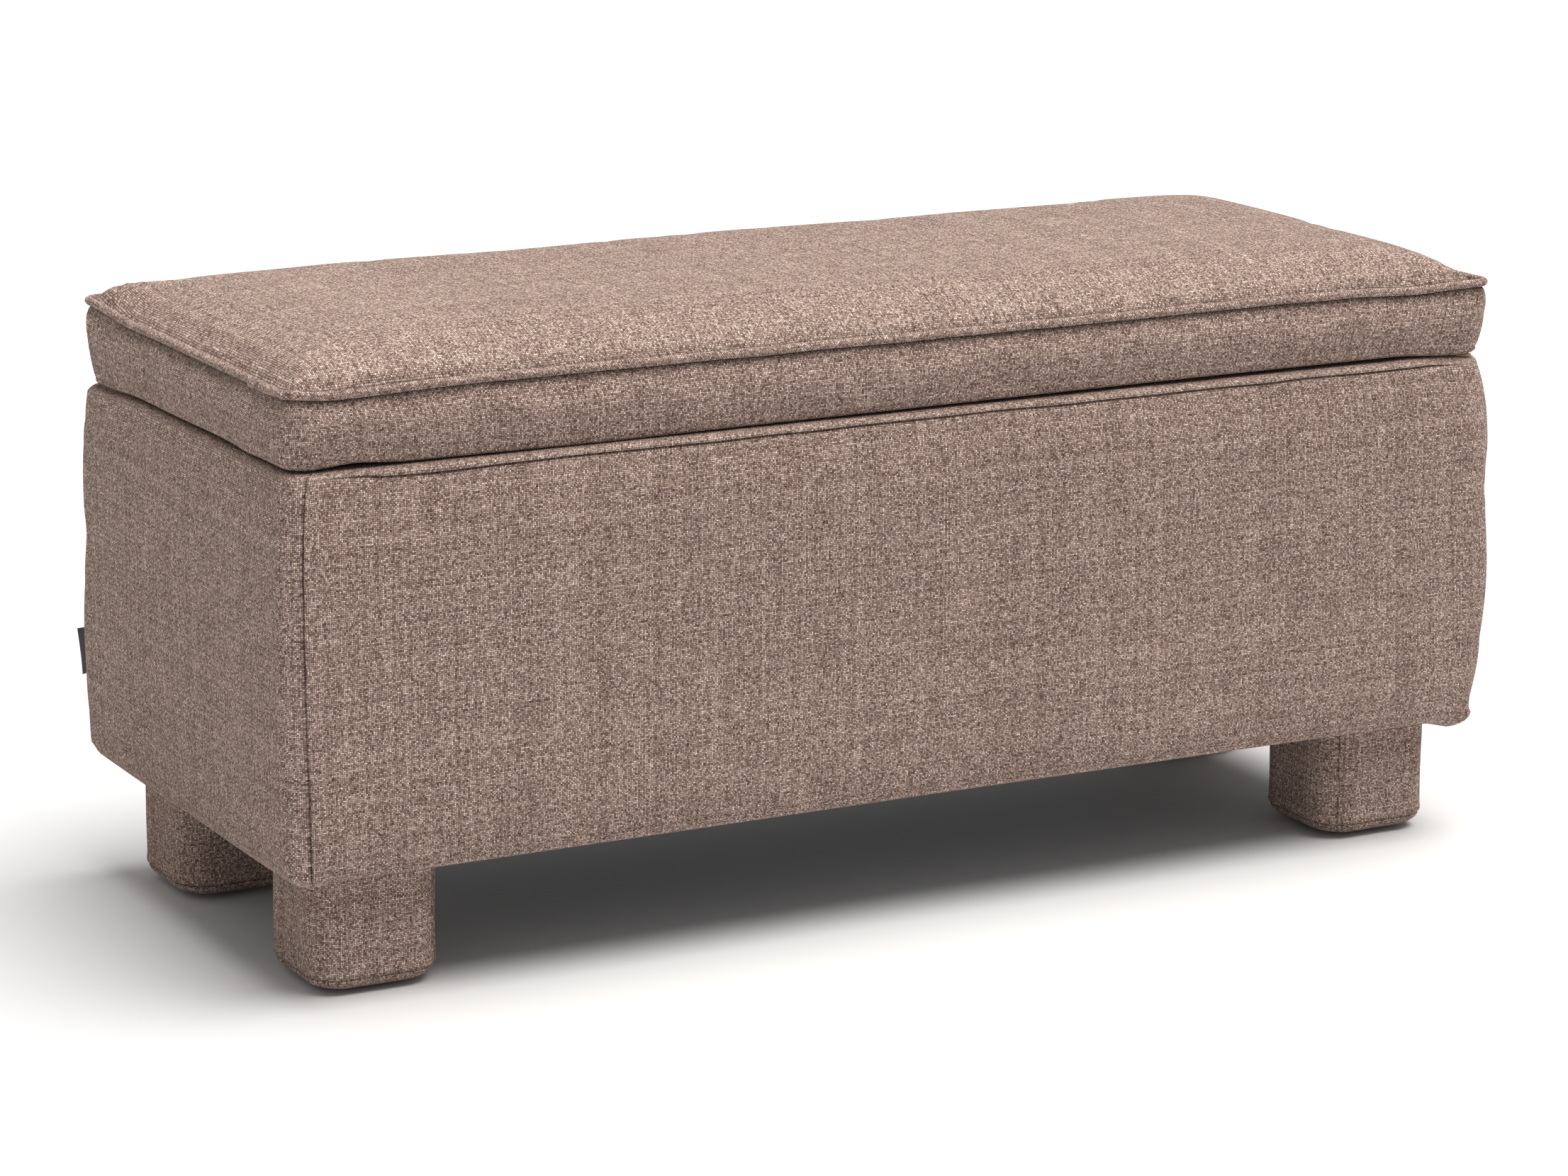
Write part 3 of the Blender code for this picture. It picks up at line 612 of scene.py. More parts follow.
SEAM_GRIP = 0.0005           # cloth this near a corner seam is held by it
# The top seam of the long sides, as height above the stitches and depth of the groove.
RIM_SEAM_PROFILE = (
    (-0.0028, 0.0), (-0.0012, 0.0002), (-0.0005, 0.0014),
    (0.0, 0.0034), (0.0005, 0.0012), (0.0012, -0.0004),
)
# The edge turned in over the boards, as outwards from their gap and depth below the rim.
TURN_IN_PROFILE = ((0.0015, 0.0), (0.0005, 0.0004), (0.0, 0.0014), (0.0, 0.012), (-0.0004, TURN_IN))


RIGHT_FULLNESS = 0.0030      # how much more the right end bulges than the left
RIGHT_TAPER = 0.0032         # and how much it draws in towards its base


def chest_tuck(z):
    upper = 0.0052 * np.clip((z - WIDEST) / (RIM - WIDEST), 0.0, 1.0) ** 2.2
    lower = 0.0034 * np.clip((WIDEST - z) / (WIDEST - CHEST_LOW.z), 0.0, 1.0) ** 1.6
    return upper + lower


def corner_dip(x, y):
    """Two corners of the rim, and of the lid on them, sit a little lower."""
    front_right = 0.0034 * smooth_step(x, 0.415, 0.485) * smooth_step(-y, 0.10, 0.19)
    back_left = 0.0044 * smooth_step(-x, 0.440, 0.485) * smooth_step(y, 0.09, 0.19)
    return front_right + back_left


def rim_seam_drop(outline):
    """How far below the rim the long sides' top seam runs.  It dives into the gap at the ends."""
    x = outline.x
    long_side = smooth_step(np.abs(outline.out_y), 0.90, 0.999)
    ends = 1.0 - smooth_step(np.abs(x), CHEST_HALF.x - 0.075, CHEST_HALF.x - 0.018)
    drop = 0.0050 + 0.0014 * bell(x, -0.385, 0.045) + 0.0006 * wave(x, outline.y, 0.0, 0.05, 2)
    return drop * ends * long_side


def chest_corner_droop(outline):
    """The loose cloth under the corners hangs a little."""
    near = np.abs(outline.x) / CHEST_HALF.x
    right = smooth_step(near, 0.90, 0.965) * (outline.x > 0) * 0.0058
    left = smooth_step(near, 0.93, 0.985) * (outline.x < 0) * 0.0020
    return right + left


def chest_cover():
    outline = Outline(CHEST_HALF, CHEST_CORNERS, 0.006, 14, seams=CHEST_SEAMS)
    skin = Skin()
    x, y = outline.x, outline.y
    droop = chest_corner_droop(outline)
    neck = 1.0 - 0.55 * smooth_step(-x, 0.40, 0.49) * smooth_step(y, 0.05, 0.19)
    neck = neck + 0.45 * smooth_step(x, 0.42, 0.49) * smooth_step(-y, 0.10, 0.19)
    bow = 0.0028 * (1.0 - (x / CHEST_HALF.x) ** 2)
    drop = rim_seam_drop(outline)
    apart = around(outline, [outline.along[outline.nearest(seam)] for seam in CHEST_SEAMS])
    rows, crease_shades = [], []

    def put(tuck, z, tighter=0.0, soft=1.0, low_corner=0.0, crease_shade=0.0):
        """One row: the unevenness of padded cloth is added along the way that it faces."""
        z = np.broadcast_to(z, x.shape).astype(float)
        tuck = np.broadcast_to(tuck, x.shape).astype(float)
        big = wave(x, y, z, 0.16, 1) * 0.0016 + wave(x, y, z, 0.055, 3) * 0.0007
        pucker = wave(x * 0.4, y * 0.4, z, 0.011, 4) * 0.0008 * bell(apart, 0.0, 0.010)
        groove = 0.0017 * bell(apart, 0.0, 0.0009) - 0.0005 * bell(apart, 0.005, 0.003)
        z = z - corner_dip(x, y) * low_corner
        squarer = 0.009 * (1.0 - smooth_step(z, 0.13, 0.31)) * (outline.corner > 0.020)
        corner = np.maximum(outline.corner - squarer - tighter, 0.004)
        rows.append(outline.at(tuck + soft * (groove - big - pucker), z, corner))
        # Painted shade: the row's own value, and a dark line along each corner seam.
        crease_shades.append(np.maximum(crease_shade, 0.55 * bell(apart, 0.0, 0.0007) * (soft > 0.5)))

    low = CHEST_LOW.z
    right_end = smooth_step(outline.out_x, 0.15, 0.85)
    base = chest_tuck(low + CHEST_BASE_ROUND) + RIGHT_TAPER * right_end
    for inward in (0.036, 0.024, 0.012):
        put(base + CHEST_BASE_ROUND + inward, low, 0.012 + inward, 0.0)
    for i in range(6):
        angle = -QUARTER + QUARTER * i / 6
        hang = droop * (1.0 - i / 8) - bow * (0.3 + 0.1 * i) * (np.abs(outline.out_y) > 0.9)
        inward = CHEST_BASE_ROUND * (1 - math.cos(angle))
        upward = CHEST_BASE_ROUND * (1 + math.sin(angle))
        put(base + inward, low + upward - hang, 0.004 * (1 - i / 6) * (x < 0), min(1.0, 0.3 * i))
    side_low, side_high = low + CHEST_BASE_ROUND, RIM - SIDE_TOP
    for i in range(SIDE_ROWS):
        share = i / (SIDE_ROWS - 1)
        z = side_low + (side_high - side_low) * share
        puff = 0.0006 * math.sin(math.pi * share) + RIGHT_FULLNESS * right_end * bell(share, 0.42, 0.22)
        taper = RIGHT_TAPER * right_end * (1 - share) ** 14
        sag = 0.3 * droop * math.exp(-i / 3)
        put(chest_tuck(z) * neck + taper - puff, z - sag, low_corner=smooth_step(z, 0.31, RIM - 0.01))
    seam_z = RIM - drop
    rim_tuck = chest_tuck(RIM) * 0.92 * neck
    hidden = 1.0 - smooth_step(drop, 0.0, 0.004)
    for offset, depth in RIM_SEAM_PROFILE:
        z = np.minimum(seam_z + offset, RIM - CHEST_RIM_ROUND * 0.55 + offset * 0.25)
        over = np.clip((z - (RIM - CHEST_RIM_ROUND)) / CHEST_RIM_ROUND, 0.0, 1.0)
        fall = CHEST_RIM_ROUND * (1.0 - np.sqrt(np.maximum(1.0 - over ** 2, 0.0)))
        # Painted shade in the groove of the long sides' top seam, where it shows.
        crease_shade = 0.95 * (1 - hidden) * (offset == 0.0)
        put(rim_tuck + fall + depth * (1 - hidden), z, low_corner=1.0, crease_shade=crease_shade)
    rise = 0.0003 * wave(x, y, 0.0, 0.04, 6) * (outline.out_y < 0.5)
    for i in range(3, 7):
        angle = QUARTER * i / 6
        inward = CHEST_RIM_ROUND * (1 - math.cos(angle))
        below = CHEST_RIM_ROUND * (1 - math.sin(angle))
        put(rim_tuck + inward, RIM - below + rise * (i / 6) ** 2, low_corner=1.0)
    inner_tuck = CHEST_HALF.x - INNER_HALF.x
    for share in (0.35, 0.75):
        tuck = rim_tuck + CHEST_RIM_ROUND + (inner_tuck - 0.013) * share
        put(tuck, RIM + rise * (1 - share), 0.012 * share, 0.3, low_corner=0.25 * (1 - share))
    for out, below in TURN_IN_PROFILE:
        rows.append(outline.at(-out, RIM - below, 0.004, INNER_HALF))
        crease_shades.append(np.zeros(len(x)))

    numbers = np.array([skin.row(points) for points in rows])
    skin.crease_shade(numbers, np.ravel(crease_shades))
    ids = closed(numbers)
    skin.cells(ids, flat_table(outline.along, row_lengths(rows)))
    piece = skin.piece("chest_cover_cloth", TAUPE)
    held = np.zeros(len(skin.points))
    held[numbers[:HELD_BASE_ROWS]] = 1.0
    held[numbers[-HELD_TOP_ROWS:]] = 1.0
    held[numbers[:, apart < SEAM_GRIP]] = 1.0
    settle(piece, held)
    thicken(piece, COVER_THICKNESS)
    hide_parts("chest_cover", "front_foam", "back_foam", "left_end_foam", "right_end_foam")
    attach(piece, "chest")
    return piece


SETTLE_FRAMES = 14
PADDING_PRESSURE = 1.0
SETTLE_MOST = 0.0014         # no point of a cover moves further than this in the simulation
COVER_THICKNESS = 0.0012
THIN_CLOTH = 0.0006
TAG_THICKNESS = 0.0003


def settle(piece, held):
    """Cloth simulation: the padding presses the cover out between its seams until it lies naturally.

    held is 1 where a point is sewn or stapled down.  No point ends up further than SETTLE_MOST from where
    it was drawn, so the cover keeps its measured shape.
    """
    group = piece.vertex_groups.new(name="held")
    for number in np.flatnonzero(np.asarray(held) > 0):
        group.add([int(number)], float(held[number]), "REPLACE")
    cloth = piece.modifiers.new("settle", "CLOTH")
    rules = cloth.settings
    rules.vertex_group_mass = group.name
    rules.quality = 4
    rules.mass = 0.20
    rules.tension_stiffness = rules.compression_stiffness = 12.0
    rules.shear_stiffness = 5.0
    rules.bending_stiffness = 2.5
    rules.shrink_min = -0.004
    rules.use_pressure = True
    rules.uniform_pressure_force = PADDING_PRESSURE
    rules.effector_weights.gravity = 0.0
    cloth.collision_settings.use_collision = False
    cloth.point_cache.frame_end = SETTLE_FRAMES
    scene = bpy.context.scene
    for frame_number in range(1, SETTLE_FRAMES + 1):
        scene.frame_set(frame_number)
    count = len(piece.data.vertices)
    drawn, settled = np.empty(count * 3), np.empty(count * 3)
    piece.data.vertices.foreach_get("co", drawn)
    piece.evaluated_get(bpy.context.evaluated_depsgraph_get()).data.vertices.foreach_get("co", settled)
    moved = (settled - drawn).reshape(-1, 3)
    size = np.linalg.norm(moved, axis=1)
    moved *= (SETTLE_MOST * np.tanh(size / SETTLE_MOST) / np.maximum(size, 1e-9))[:, None]
    piece.modifiers.remove(cloth)
    piece.data.vertices.foreach_set("co", drawn + moved.ravel())
    piece.data.update()
    scene.frame_set(1)


def thicken(piece, thickness, offset=-1.0):
    """Gives a skin its thickness: inwards, or as offset says, from -1 to 1."""
    step = piece.modifiers.new("cloth", "SOLIDIFY")
    step.thickness = thickness
    step.offset = offset


# ---- lid ----
LID_LOW, LID_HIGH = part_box("lid_cover")
LID_HALF = Vector((LID_HIGH.x, LID_HIGH.y))
LID_TOP = LID_HIGH.z
SEAM = 0.4310                # height of the seam that holds the piping
SEAM_TUCK = 0.0050
SEAM_CORNER = 0.006
CROWN_REACH = 0.025
CROWN_POWER = 3.0            # how squarely the crown fills its corners
SEAM_LEDGE = 0.0032          # flat cloth behind the piping before the crown starts to rise
BAND_CORNER = 0.017
LID_TURN = 0.005
LID_BOTTOM_TUCK = 0.0040
LID_SAG = 0.0030             # how far the band hangs below the board, except at the hinges
PIPING_RADIUS = 0.0031
PIPING_OUT = 0.0024
PIPING_UP = 0.0029
PIPING_JOIN = -0.133         # how far back along the left end the cord's two ends meet
PIPING_LAP = 0.006           # how far its end runs on under its start
BAND_ROWS = 16


def seam_height(x, y):
    """The piped seam isn't quite level: it dips beside the front left corner and lifts at the corners."""
    front = -0.0022 * bell(x, -0.445, 0.040) + 0.0018 * bell(x, -0.487, 0.012)
    front = front + 0.0008 * bell(x, 0.30, 0.10) - 0.0016 * bell(x, 0.420, 0.035)
    left = 0.0030 * smooth_step(y, 0.10, 0.19) - 0.0012 * bell(y, -0.150, 0.030)
    right = 0.0010 * bell(y, 0.0, 0.12)
    back = 0.0020 * bell(x, -0.46, 0.05)
    near_front = smooth_step(-y, 0.10, 0.18)
    near_back = smooth_step(y, 0.10, 0.18)
    near_left = smooth_step(-x, LID_HALF.x - 0.06, LID_HALF.x - 0.02)
    near_right = smooth_step(x, LID_HALF.x - 0.06, LID_HALF.x - 0.02)
    ripple = 0.0005 * wave(x, y, 0.0, 0.045, 8)
    return SEAM + front * near_front + back * near_back + left * near_left + right * near_right + ripple


def seam_pull(x, y):
    """How much further in the seam is drawn between the corners."""
    across = 0.0034 * (1 - np.clip(np.abs(y) / LID_HALF.y, 0, 1) ** 3)
    along = 0.0034 * (1 - np.clip(np.abs(x) / LID_HALF.x, 0, 1) ** 6)
    return across, along


def grid_lines(reach, corner, step):
    """Places across the top, closer together in the rounded corners and along the seam."""
    edge = corner * np.sin(np.linspace(0.0, QUARTER, 6))
    behind = reach - corner - np.array([0.0014, 0.0030, 0.0050, 0.0080])
    inner = behind[-1]
    middle = np.linspace(-inner, inner, round(2 * inner / step) + 1)
    right = np.concatenate([behind[-2::-1], (reach - corner) + edge])
    return np.concatenate([-right[::-1], middle, right])


def lid_cushion():
    """Crowned top, boxed band and the hem turned under the board, as one skin."""
    skin = Skin()
    half = LID_HALF - Vector((SEAM_TUCK, SEAM_TUCK))
    xs, ys = grid_lines(half.x, SEAM_CORNER, 0.0075), grid_lines(half.y, SEAM_CORNER, 0.0075)
    gx, gy = np.meshgrid(xs, ys)
    reach_x, reach_y = half.x - SEAM_CORNER, half.y - SEAM_CORNER
    p = np.clip((np.abs(gx) - reach_x) / SEAM_CORNER, 0.0, 1.0)
    q = np.clip((np.abs(gy) - reach_y) / SEAM_CORNER, 0.0, 1.0)
    px = np.where(p > 0, np.sign(gx) * (reach_x + SEAM_CORNER * p * np.sqrt(1 - q * q / 2)), gx)
    py = np.where(q > 0, np.sign(gy) * (reach_y + SEAM_CORNER * q * np.sqrt(1 - p * p / 2)), gy)
    pull_x, pull_y = seam_pull(px, py)
    px = px - np.sign(px) * pull_x * (np.abs(px) / half.x) ** 6
    py = py - np.sign(py) * pull_y * (np.abs(py) / half.y) ** 4
    depth_x = np.maximum(half.x - np.abs(gx), 0.0)
    depth_y = np.maximum(half.y - np.abs(gy), 0.0)
    near_x, near_y = np.maximum(depth_x, 1e-5), np.maximum(depth_y, 1e-5)
    depth = (near_x ** -CROWN_POWER + near_y ** -CROWN_POWER) ** (-1 / CROWN_POWER)
    full_corner = smooth_step(-px, 0.43, 0.48) * smooth_step(py, 0.12, 0.18)
    ledge = SEAM_LEDGE * (1.0 - 0.8 * full_corner)
    lift = 1 - np.exp(-np.maximum(depth - ledge, 0.0) / (CROWN_REACH * (1.0 - 0.36 * full_corner)))
    edge_height = seam_height(px, py)
    uneven = wave(px, py, 0.0, 0.14, 11) * 0.0012
    pz = edge_height + (LID_TOP - 0.0005 - edge_height + uneven) * lift
    ids_top = np.array([skin.row(np.stack([px[j], py[j], pz[j]], axis=1)) for j in range(len(ys))])
    # Painted shade on the top just behind the piping, stronger along the front.
    beside_front = smooth_step(-gy, reach_y - 0.030, reach_y)
    skin.crease_shade(ids_top, ((0.12 + 0.40 * beside_front) * bell(depth, 0.0064, 0.0016)).ravel())
    skin.cells(ids_top, np.stack([px, py], axis=2))

    last_x, last_y = len(xs) - 1, len(ys) - 1
    loop = ([(0, i) for i in range(last_x + 1)] + [(j, last_x) for j in range(1, last_y + 1)]
            + [(last_y, i) for i in range(last_x - 1, -1, -1)] + [(j, 0) for j in range(last_y - 1, 0, -1)])
    loop_j, loop_i = np.array(loop).T
    # Painted shade along the seam under the piping.
    skin.crease_shade(ids_top[loop_j, loop_i], 0.9)
    ex, ey, ez = px[loop_j, loop_i], py[loop_j, loop_i], pz[loop_j, loop_i]
    top_edge = np.stack([ex, ey, ez], axis=1)
    grid_x, grid_y = gx[loop_j, loop_i], gy[loop_j, loop_i]
    corner_x, corner_y = p[loop_j, loop_i], q[loop_j, loop_i]
    unit_x = np.sign(grid_x) * corner_x * np.sqrt(1 - corner_y ** 2 / 2)
    unit_y = np.sign(grid_y) * corner_y * np.sqrt(1 - corner_x ** 2 / 2)
    size = np.hypot(unit_x, unit_y)
    out_x, out_y = unit_x / size, unit_y / size
    share_x = np.clip(grid_x / reach_x, -1, 1)
    share_y = np.clip(grid_y / reach_y, -1, 1)

    def band_points(tuck, z, corner):
        x = share_x * (LID_HALF.x - tuck - corner) + corner * out_x
        y = share_y * (LID_HALF.y - tuck - corner) + corner * out_y
        return np.stack([x, y, z], axis=1)

    bottom = LID_LOW.z - np.where(out_y > 0.5, 0.0, LID_SAG)
    bottom = bottom + lid_edge_lift(ex, ey) - corner_dip(ex, ey)
    turn_start = bottom + LID_TURN
    band = []
    pull_ex, pull_ey = seam_pull(ex, ey)
    seam_tuck = SEAM_TUCK + np.where(np.abs(out_x) > 0.7, pull_ex, pull_ey)
    for i in range(1, BAND_ROWS + 1):
        share = i / BAND_ROWS
        z = ez + (turn_start - ez) * share
        full = math.sin(math.pi * share ** 0.85) ** 0.7 if share < 1 else 0.0
        soft = wave(ex, ey, z, 0.07, 13) * 0.0012 + wave(ex, ey, z * 0.5, 0.030, 14) * 0.0006
        pucker = wave(ex, ey, z * 0.3, 0.010, 15) * 0.0006 * math.exp(-share * 7)
        corner = SEAM_CORNER + (BAND_CORNER - SEAM_CORNER) * min(1.0, share * 2.2)
        tuck = (seam_tuck * (1 - share) + LID_BOTTOM_TUCK * share) * (1 - full)
        band.append(band_points(tuck - (soft + pucker) * full, z, corner))
    for i in range(1, 6):
        angle = QUARTER * i / 5
        band.append(band_points(LID_BOTTOM_TUCK + LID_TURN * (1 - math.cos(angle)),
                                turn_start - LID_TURN * math.sin(angle), BAND_CORNER - LID_TURN * 0.4))
    board_face = np.full(len(ex), LID_LOW.z)
    for inward in (0.010, 0.020, 0.030):
        band.append(band_points(LID_BOTTOM_TUCK + LID_TURN + inward, board_face, BAND_CORNER - 0.008))
    middle = band[BAND_ROWS // 2]
    steps = np.linalg.norm(np.diff(np.vstack([middle, middle[:1]]), axis=0), axis=1)
    along = np.concatenate([[0.0], np.cumsum(steps)])
    ids = closed(np.vstack([ids_top[loop_j, loop_i]] + [skin.row(points) for points in band]))
    down = row_lengths([top_edge, *band])
    skin.cells(ids, flat_table(along, 1.0 - down), turned=True)
    # Painted shade along the band's upright seam by the front left corner.
    seam_column = int(np.argmin(np.hypot(ex + half.x, ey + reach_y - 0.0014)))
    skin.crease_shade(ids[1:BAND_ROWS + 1, seam_column], 0.40)

    piece = skin.piece("lid_cushion", TAUPE)
    held = np.zeros(len(skin.points))
    held[ids_top[loop_j, loop_i]] = 1.0
    held[ids[-8:, :-1]] = 1.0
    settle(piece, held)
    thicken(piece, COVER_THICKNESS)
    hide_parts("lid_cover", "lid_foam")
    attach(piece, "lid")
    return top_edge, np.stack([out_x, out_y], axis=1)


def lid_edge_lift(x, y):
    """The lower edge isn't straight either: the gap opens beside the front left corner."""
    front = 0.0026 * bell(x, -0.452, 0.024) + 0.0014 * smooth_step(x, -0.2, 0.30)
    front = front - 0.0008 * bell(x, -0.26, 0.07)
    left = 0.0010 * bell(y, -0.06, 0.05) - 0.0008 * bell(y, -0.12, 0.02)
    near_front = smooth_step(-y, 0.12, 0.18)
    near_left = smooth_step(-x, LID_HALF.x - 0.04, LID_HALF.x - 0.02)
    return front * near_front + left * near_left


def tube(skin, centres, radius, sides=14, across=None, crease_shade=None):
    """A round cord along a line of points, in one radius or one for each point.

    across is a sideways direction to keep, for a wire that turns up at its ends.
    """
    centres = np.asarray(centres, float)
    radius = np.broadcast_to(radius, len(centres))
    ahead = np.gradient(centres, axis=0)
    ahead /= np.linalg.norm(ahead, axis=1)[:, None]
    side = np.cross(ahead, (0.0, 0.0, 1.0)) if across is None else np.tile(across, (len(centres), 1))
    side = side / np.linalg.norm(side, axis=1)[:, None]
    up = np.cross(side, ahead)
    angles = np.linspace(0.0, 2 * math.pi, sides + 1)[:-1]
    numbers = []
    for k in range(len(centres)):
        circle = np.outer(np.cos(angles), side[k]) + np.outer(np.sin(angles), up[k])
        numbers.append(skin.row(centres[k] + radius[k] * circle))
    numbers = np.array(numbers)
    # Painted shade for each ring of the cord.
    if crease_shade is not None:
        skin.crease_shade(numbers, np.repeat(crease_shade, sides))
    ids = closed(numbers)
    lengths = np.concatenate([[0.0], np.cumsum(np.linalg.norm(np.diff(centres, axis=0), axis=1))])
    round_it = np.linspace(0.0, 2 * math.pi, sides + 1) * float(np.mean(radius))
    flat = np.stack(np.broadcast_arrays(lengths[:, None], round_it[None, :]), axis=2)
    skin.cells(ids, flat)
    skin.fan(ids[0, :-1], centres[0], flat[0, :-1], (0.0, 0.0))
    skin.fan(ids[-1, :-1][::-1], centres[-1], flat[-1, :-1][::-1], (float(lengths[-1]), 0.0))


def lid_piping(edge, out):
    """The covered cord in the seam.  Its two ends meet on the left end, where one laps over the other."""
    line = edge + np.column_stack([out * PIPING_OUT, np.full(len(edge), PIPING_UP)])
    start = int(np.argmin(np.hypot(line[:, 0] + LID_HALF.x, line[:, 1] - PIPING_JOIN)))
    line = np.roll(line, -start, axis=0)
    line = np.vstack([line, line[:1]])
    lengths = np.concatenate([[0.0], np.cumsum(np.linalg.norm(np.diff(line, axis=0), axis=1))])
    total = lengths[-1]
    places = np.concatenate([np.arange(0.0, 0.006, 0.0006), np.arange(0.006, total - 0.006, 0.0028),
                             np.arange(total - 0.006, total + PIPING_LAP, 0.0009)])
    dense = np.column_stack([np.interp(places % total, lengths, line[:, k]) for k in range(3)])
    dense[1:-1] = (dense[:-2] + 2 * dense[1:-1] + dense[2:]) / 4
    lap = np.exp(-places / 0.022)
    tail = np.clip((places - total + 0.014) / 0.014, 0.0, 1.0)
    dense[:, 0] += 0.0014 * tail - 0.0026 * lap
    dense[:, 2] += 0.0010 * lap - 0.0006 * tail
    tip = np.clip(places / 0.0034, 0.0, 1.0)
    radius = PIPING_RADIUS * (1 + 0.34 * lap) * (1 - 0.22 * tail)
    radius = radius * (0.25 + 0.75 * np.sqrt(1 - (1 - tip) ** 2))
    radius = radius * (1 + 0.03 * wave(dense[:, 0], dense[:, 1], dense[:, 2], 0.012, 21))
    skin = Skin()
    # Painted shade where the cord's end runs on under its start.
    under = bell(places, total - 0.0016, 0.0022)
    tube(skin, dense, radius, crease_shade=0.95 * under)
    piece = skin.piece("lid_piping_cord", BIAS)
    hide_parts("lid_piping")
    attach(piece, "lid")


# ---- feet ----
FOOT_SEAMS = {"front_left": -35, "front_right": -122, "back_left": 35, "back_right": 145}
FOOT_CORNER = 0.024
FOOT_BASE_ROUND = 0.012
FOOT_CAP_SEAM = 0.0088       # height of the seam round the foot's base


def foot_sock(name):
    """A sewn cover drawn over the block, with a base panel and one upright seam."""
    low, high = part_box(f"foot_cover_{name}")
    centre = (low + high) / 2
    half = Vector(((high.x - low.x) / 2, (high.y - low.y) / 2))
    seam_facing = math.radians(FOOT_SEAMS[name])
    outline = Outline(half, FOOT_CORNER, 0.006, 16, seams=(seam_facing,))
    skin = Skin()
    apart = around(outline, [outline.along[outline.nearest(seam_facing)]])
    cap_seam = low.z + FOOT_CAP_SEAM
    rows, crease_shades = [], []

    def put(tuck, z, corner=FOOT_CORNER, soft=1.0):
        uneven = wave(outline.x + centre.x, outline.y + centre.y, z, 0.035, 31) * 0.0008
        groove = 0.0011 * bell(apart, 0.0, 0.0014) + 0.0006 * bell(apart, 0.0040, 0.0010)
        points = outline.at(tuck + soft * (groove - uneven), z, corner)
        rows.append(points + np.array([centre.x, centre.y, 0.0]))
        # Painted shade in the grooves of the upright seam and its topstitching, and round the base seam.
        seam_shade = bell(apart, 0.0, 0.0009) + 0.6 * bell(apart, 0.0045, 0.0008)
        crease_shades.append(np.clip(0.75 * soft * seam_shade + 0.7 * bell(z, cap_seam, 0.0007), 0.0, 1.0))

    for tuck in (0.040, 0.028, 0.018, 0.013):
        put(tuck, low.z, max(0.006, FOOT_CORNER - tuck * 0.5), 0.0)
    angles = np.linspace(-QUARTER, 0.0, 9)[1:]
    heights = sorted(set([low.z + FOOT_BASE_ROUND * (1 + math.sin(a)) for a in angles]
                         + [cap_seam + o for o in (-0.0016, -0.0006, 0.0, 0.0006, 0.0016)]))
    for z in heights:
        rise = min(1.0, (z - low.z) / FOOT_BASE_ROUND)
        tuck = FOOT_BASE_ROUND * (1 - math.sqrt(max(0.0, 1 - (1 - rise) ** 2)))
        tuck += 0.0011 * bell(z, cap_seam, 0.0009) - 0.0004 * bell(z, cap_seam + 0.003, 0.002)
        put(tuck, z, FOOT_CORNER - tuck * 0.35)
    for z in np.linspace(low.z + FOOT_BASE_ROUND + 0.004, high.z, 14):
        put(0.0, z)
    numbers = np.array([skin.row(points) for points in rows])
    skin.crease_shade(numbers, np.ravel(crease_shades))
    ids = closed(numbers)
    flat = flat_table(outline.along + centre.x * 3, row_lengths(rows) + centre.y)
    skin.cells(ids, flat)
    skin.fan(ids[0, :-1], (centre.x, centre.y, low.z), flat[0, :-1], (centre.x * 3, centre.y - 0.02))
    piece = skin.piece(f"foot_sock_{name}", TAUPE)
    thicken(piece, COVER_THICKNESS)
    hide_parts(f"foot_cover_{name}")
    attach(piece, "chest")


# ---- lining, dust cover, tag and fixings ----
def flat_cloth(name, low, high, height_of, material, step=0.012):
    """A level sheet whose height over each point comes from height_of(x, y)."""
    xs = np.linspace(low.x, high.x, round((high.x - low.x) / step) + 1)
    ys = np.linspace(low.y, high.y, round((high.y - low.y) / step) + 1)
    gx, gy = np.meshgrid(xs, ys)
    gz = height_of(gx, gy)
    skin = Skin()
    ids = np.array([skin.row(np.stack([gx[j], gy[j], gz[j]], axis=1)) for j in range(len(ys))])
    skin.cells(ids, np.stack([gx, gy], axis=2))
    piece = skin.piece(name, material)
    thicken(piece, THIN_CLOTH, 0.0)
    return piece


STAPLE_INSET = 0.007
STAPLE_HALF = 0.0048         # half the length of its back
STAPLE_LEG = 0.0016          # how deep the legs are drawn
STAPLE_WIRE = 0.00035
# One staple, as shares of its half length and of its legs.
STAPLE_PROFILE = ((-1.0, 1.0), (-1.0, 0.3), (-0.86, 0.0), (0.0, -0.05), (0.86, 0.0), (1.0, 0.3), (1.0, 1.0))


def staples(name, low, high, height, spacing, body):
    """A row of wire staples just inside each edge of a cloth stapled from below."""
    skin = Skin()
    left, right = low.x + STAPLE_INSET, high.x - STAPLE_INSET
    near, far = low.y + STAPLE_INSET, high.y - STAPLE_INSET
    sides = (
        ((left, near), (right, near)),
        ((left, far), (right, far)),
        ((left, near), (left, far)),
        ((right, near), (right, far)),
    )
    for side, (start, end) in enumerate(sides):
        start, end = np.array(start), np.array(end)
        length = np.linalg.norm(end - start)
        ahead = (end - start) / length
        count = round(length / spacing)
        for k in range(count):
            slip = noise.noise(Vector((k * 1.7, side * 3.1, 0.4)))
            middle = start + ahead * length * (k + 0.5 + 0.22 * slip) / count
            tilt = 0.25 * slip
            way = np.array([ahead[0] * math.cos(tilt) - ahead[1] * math.sin(tilt),
                            ahead[0] * math.sin(tilt) + ahead[1] * math.cos(tilt)])
            path = [(*(middle + way * STAPLE_HALF * a), height + STAPLE_LEG * b) for a, b in STAPLE_PROFILE]
            tube(skin, path, STAPLE_WIRE, sides=6, across=(-way[1], way[0], 0.0))
    piece = skin.piece(name, ZINC)
    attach(piece, body)


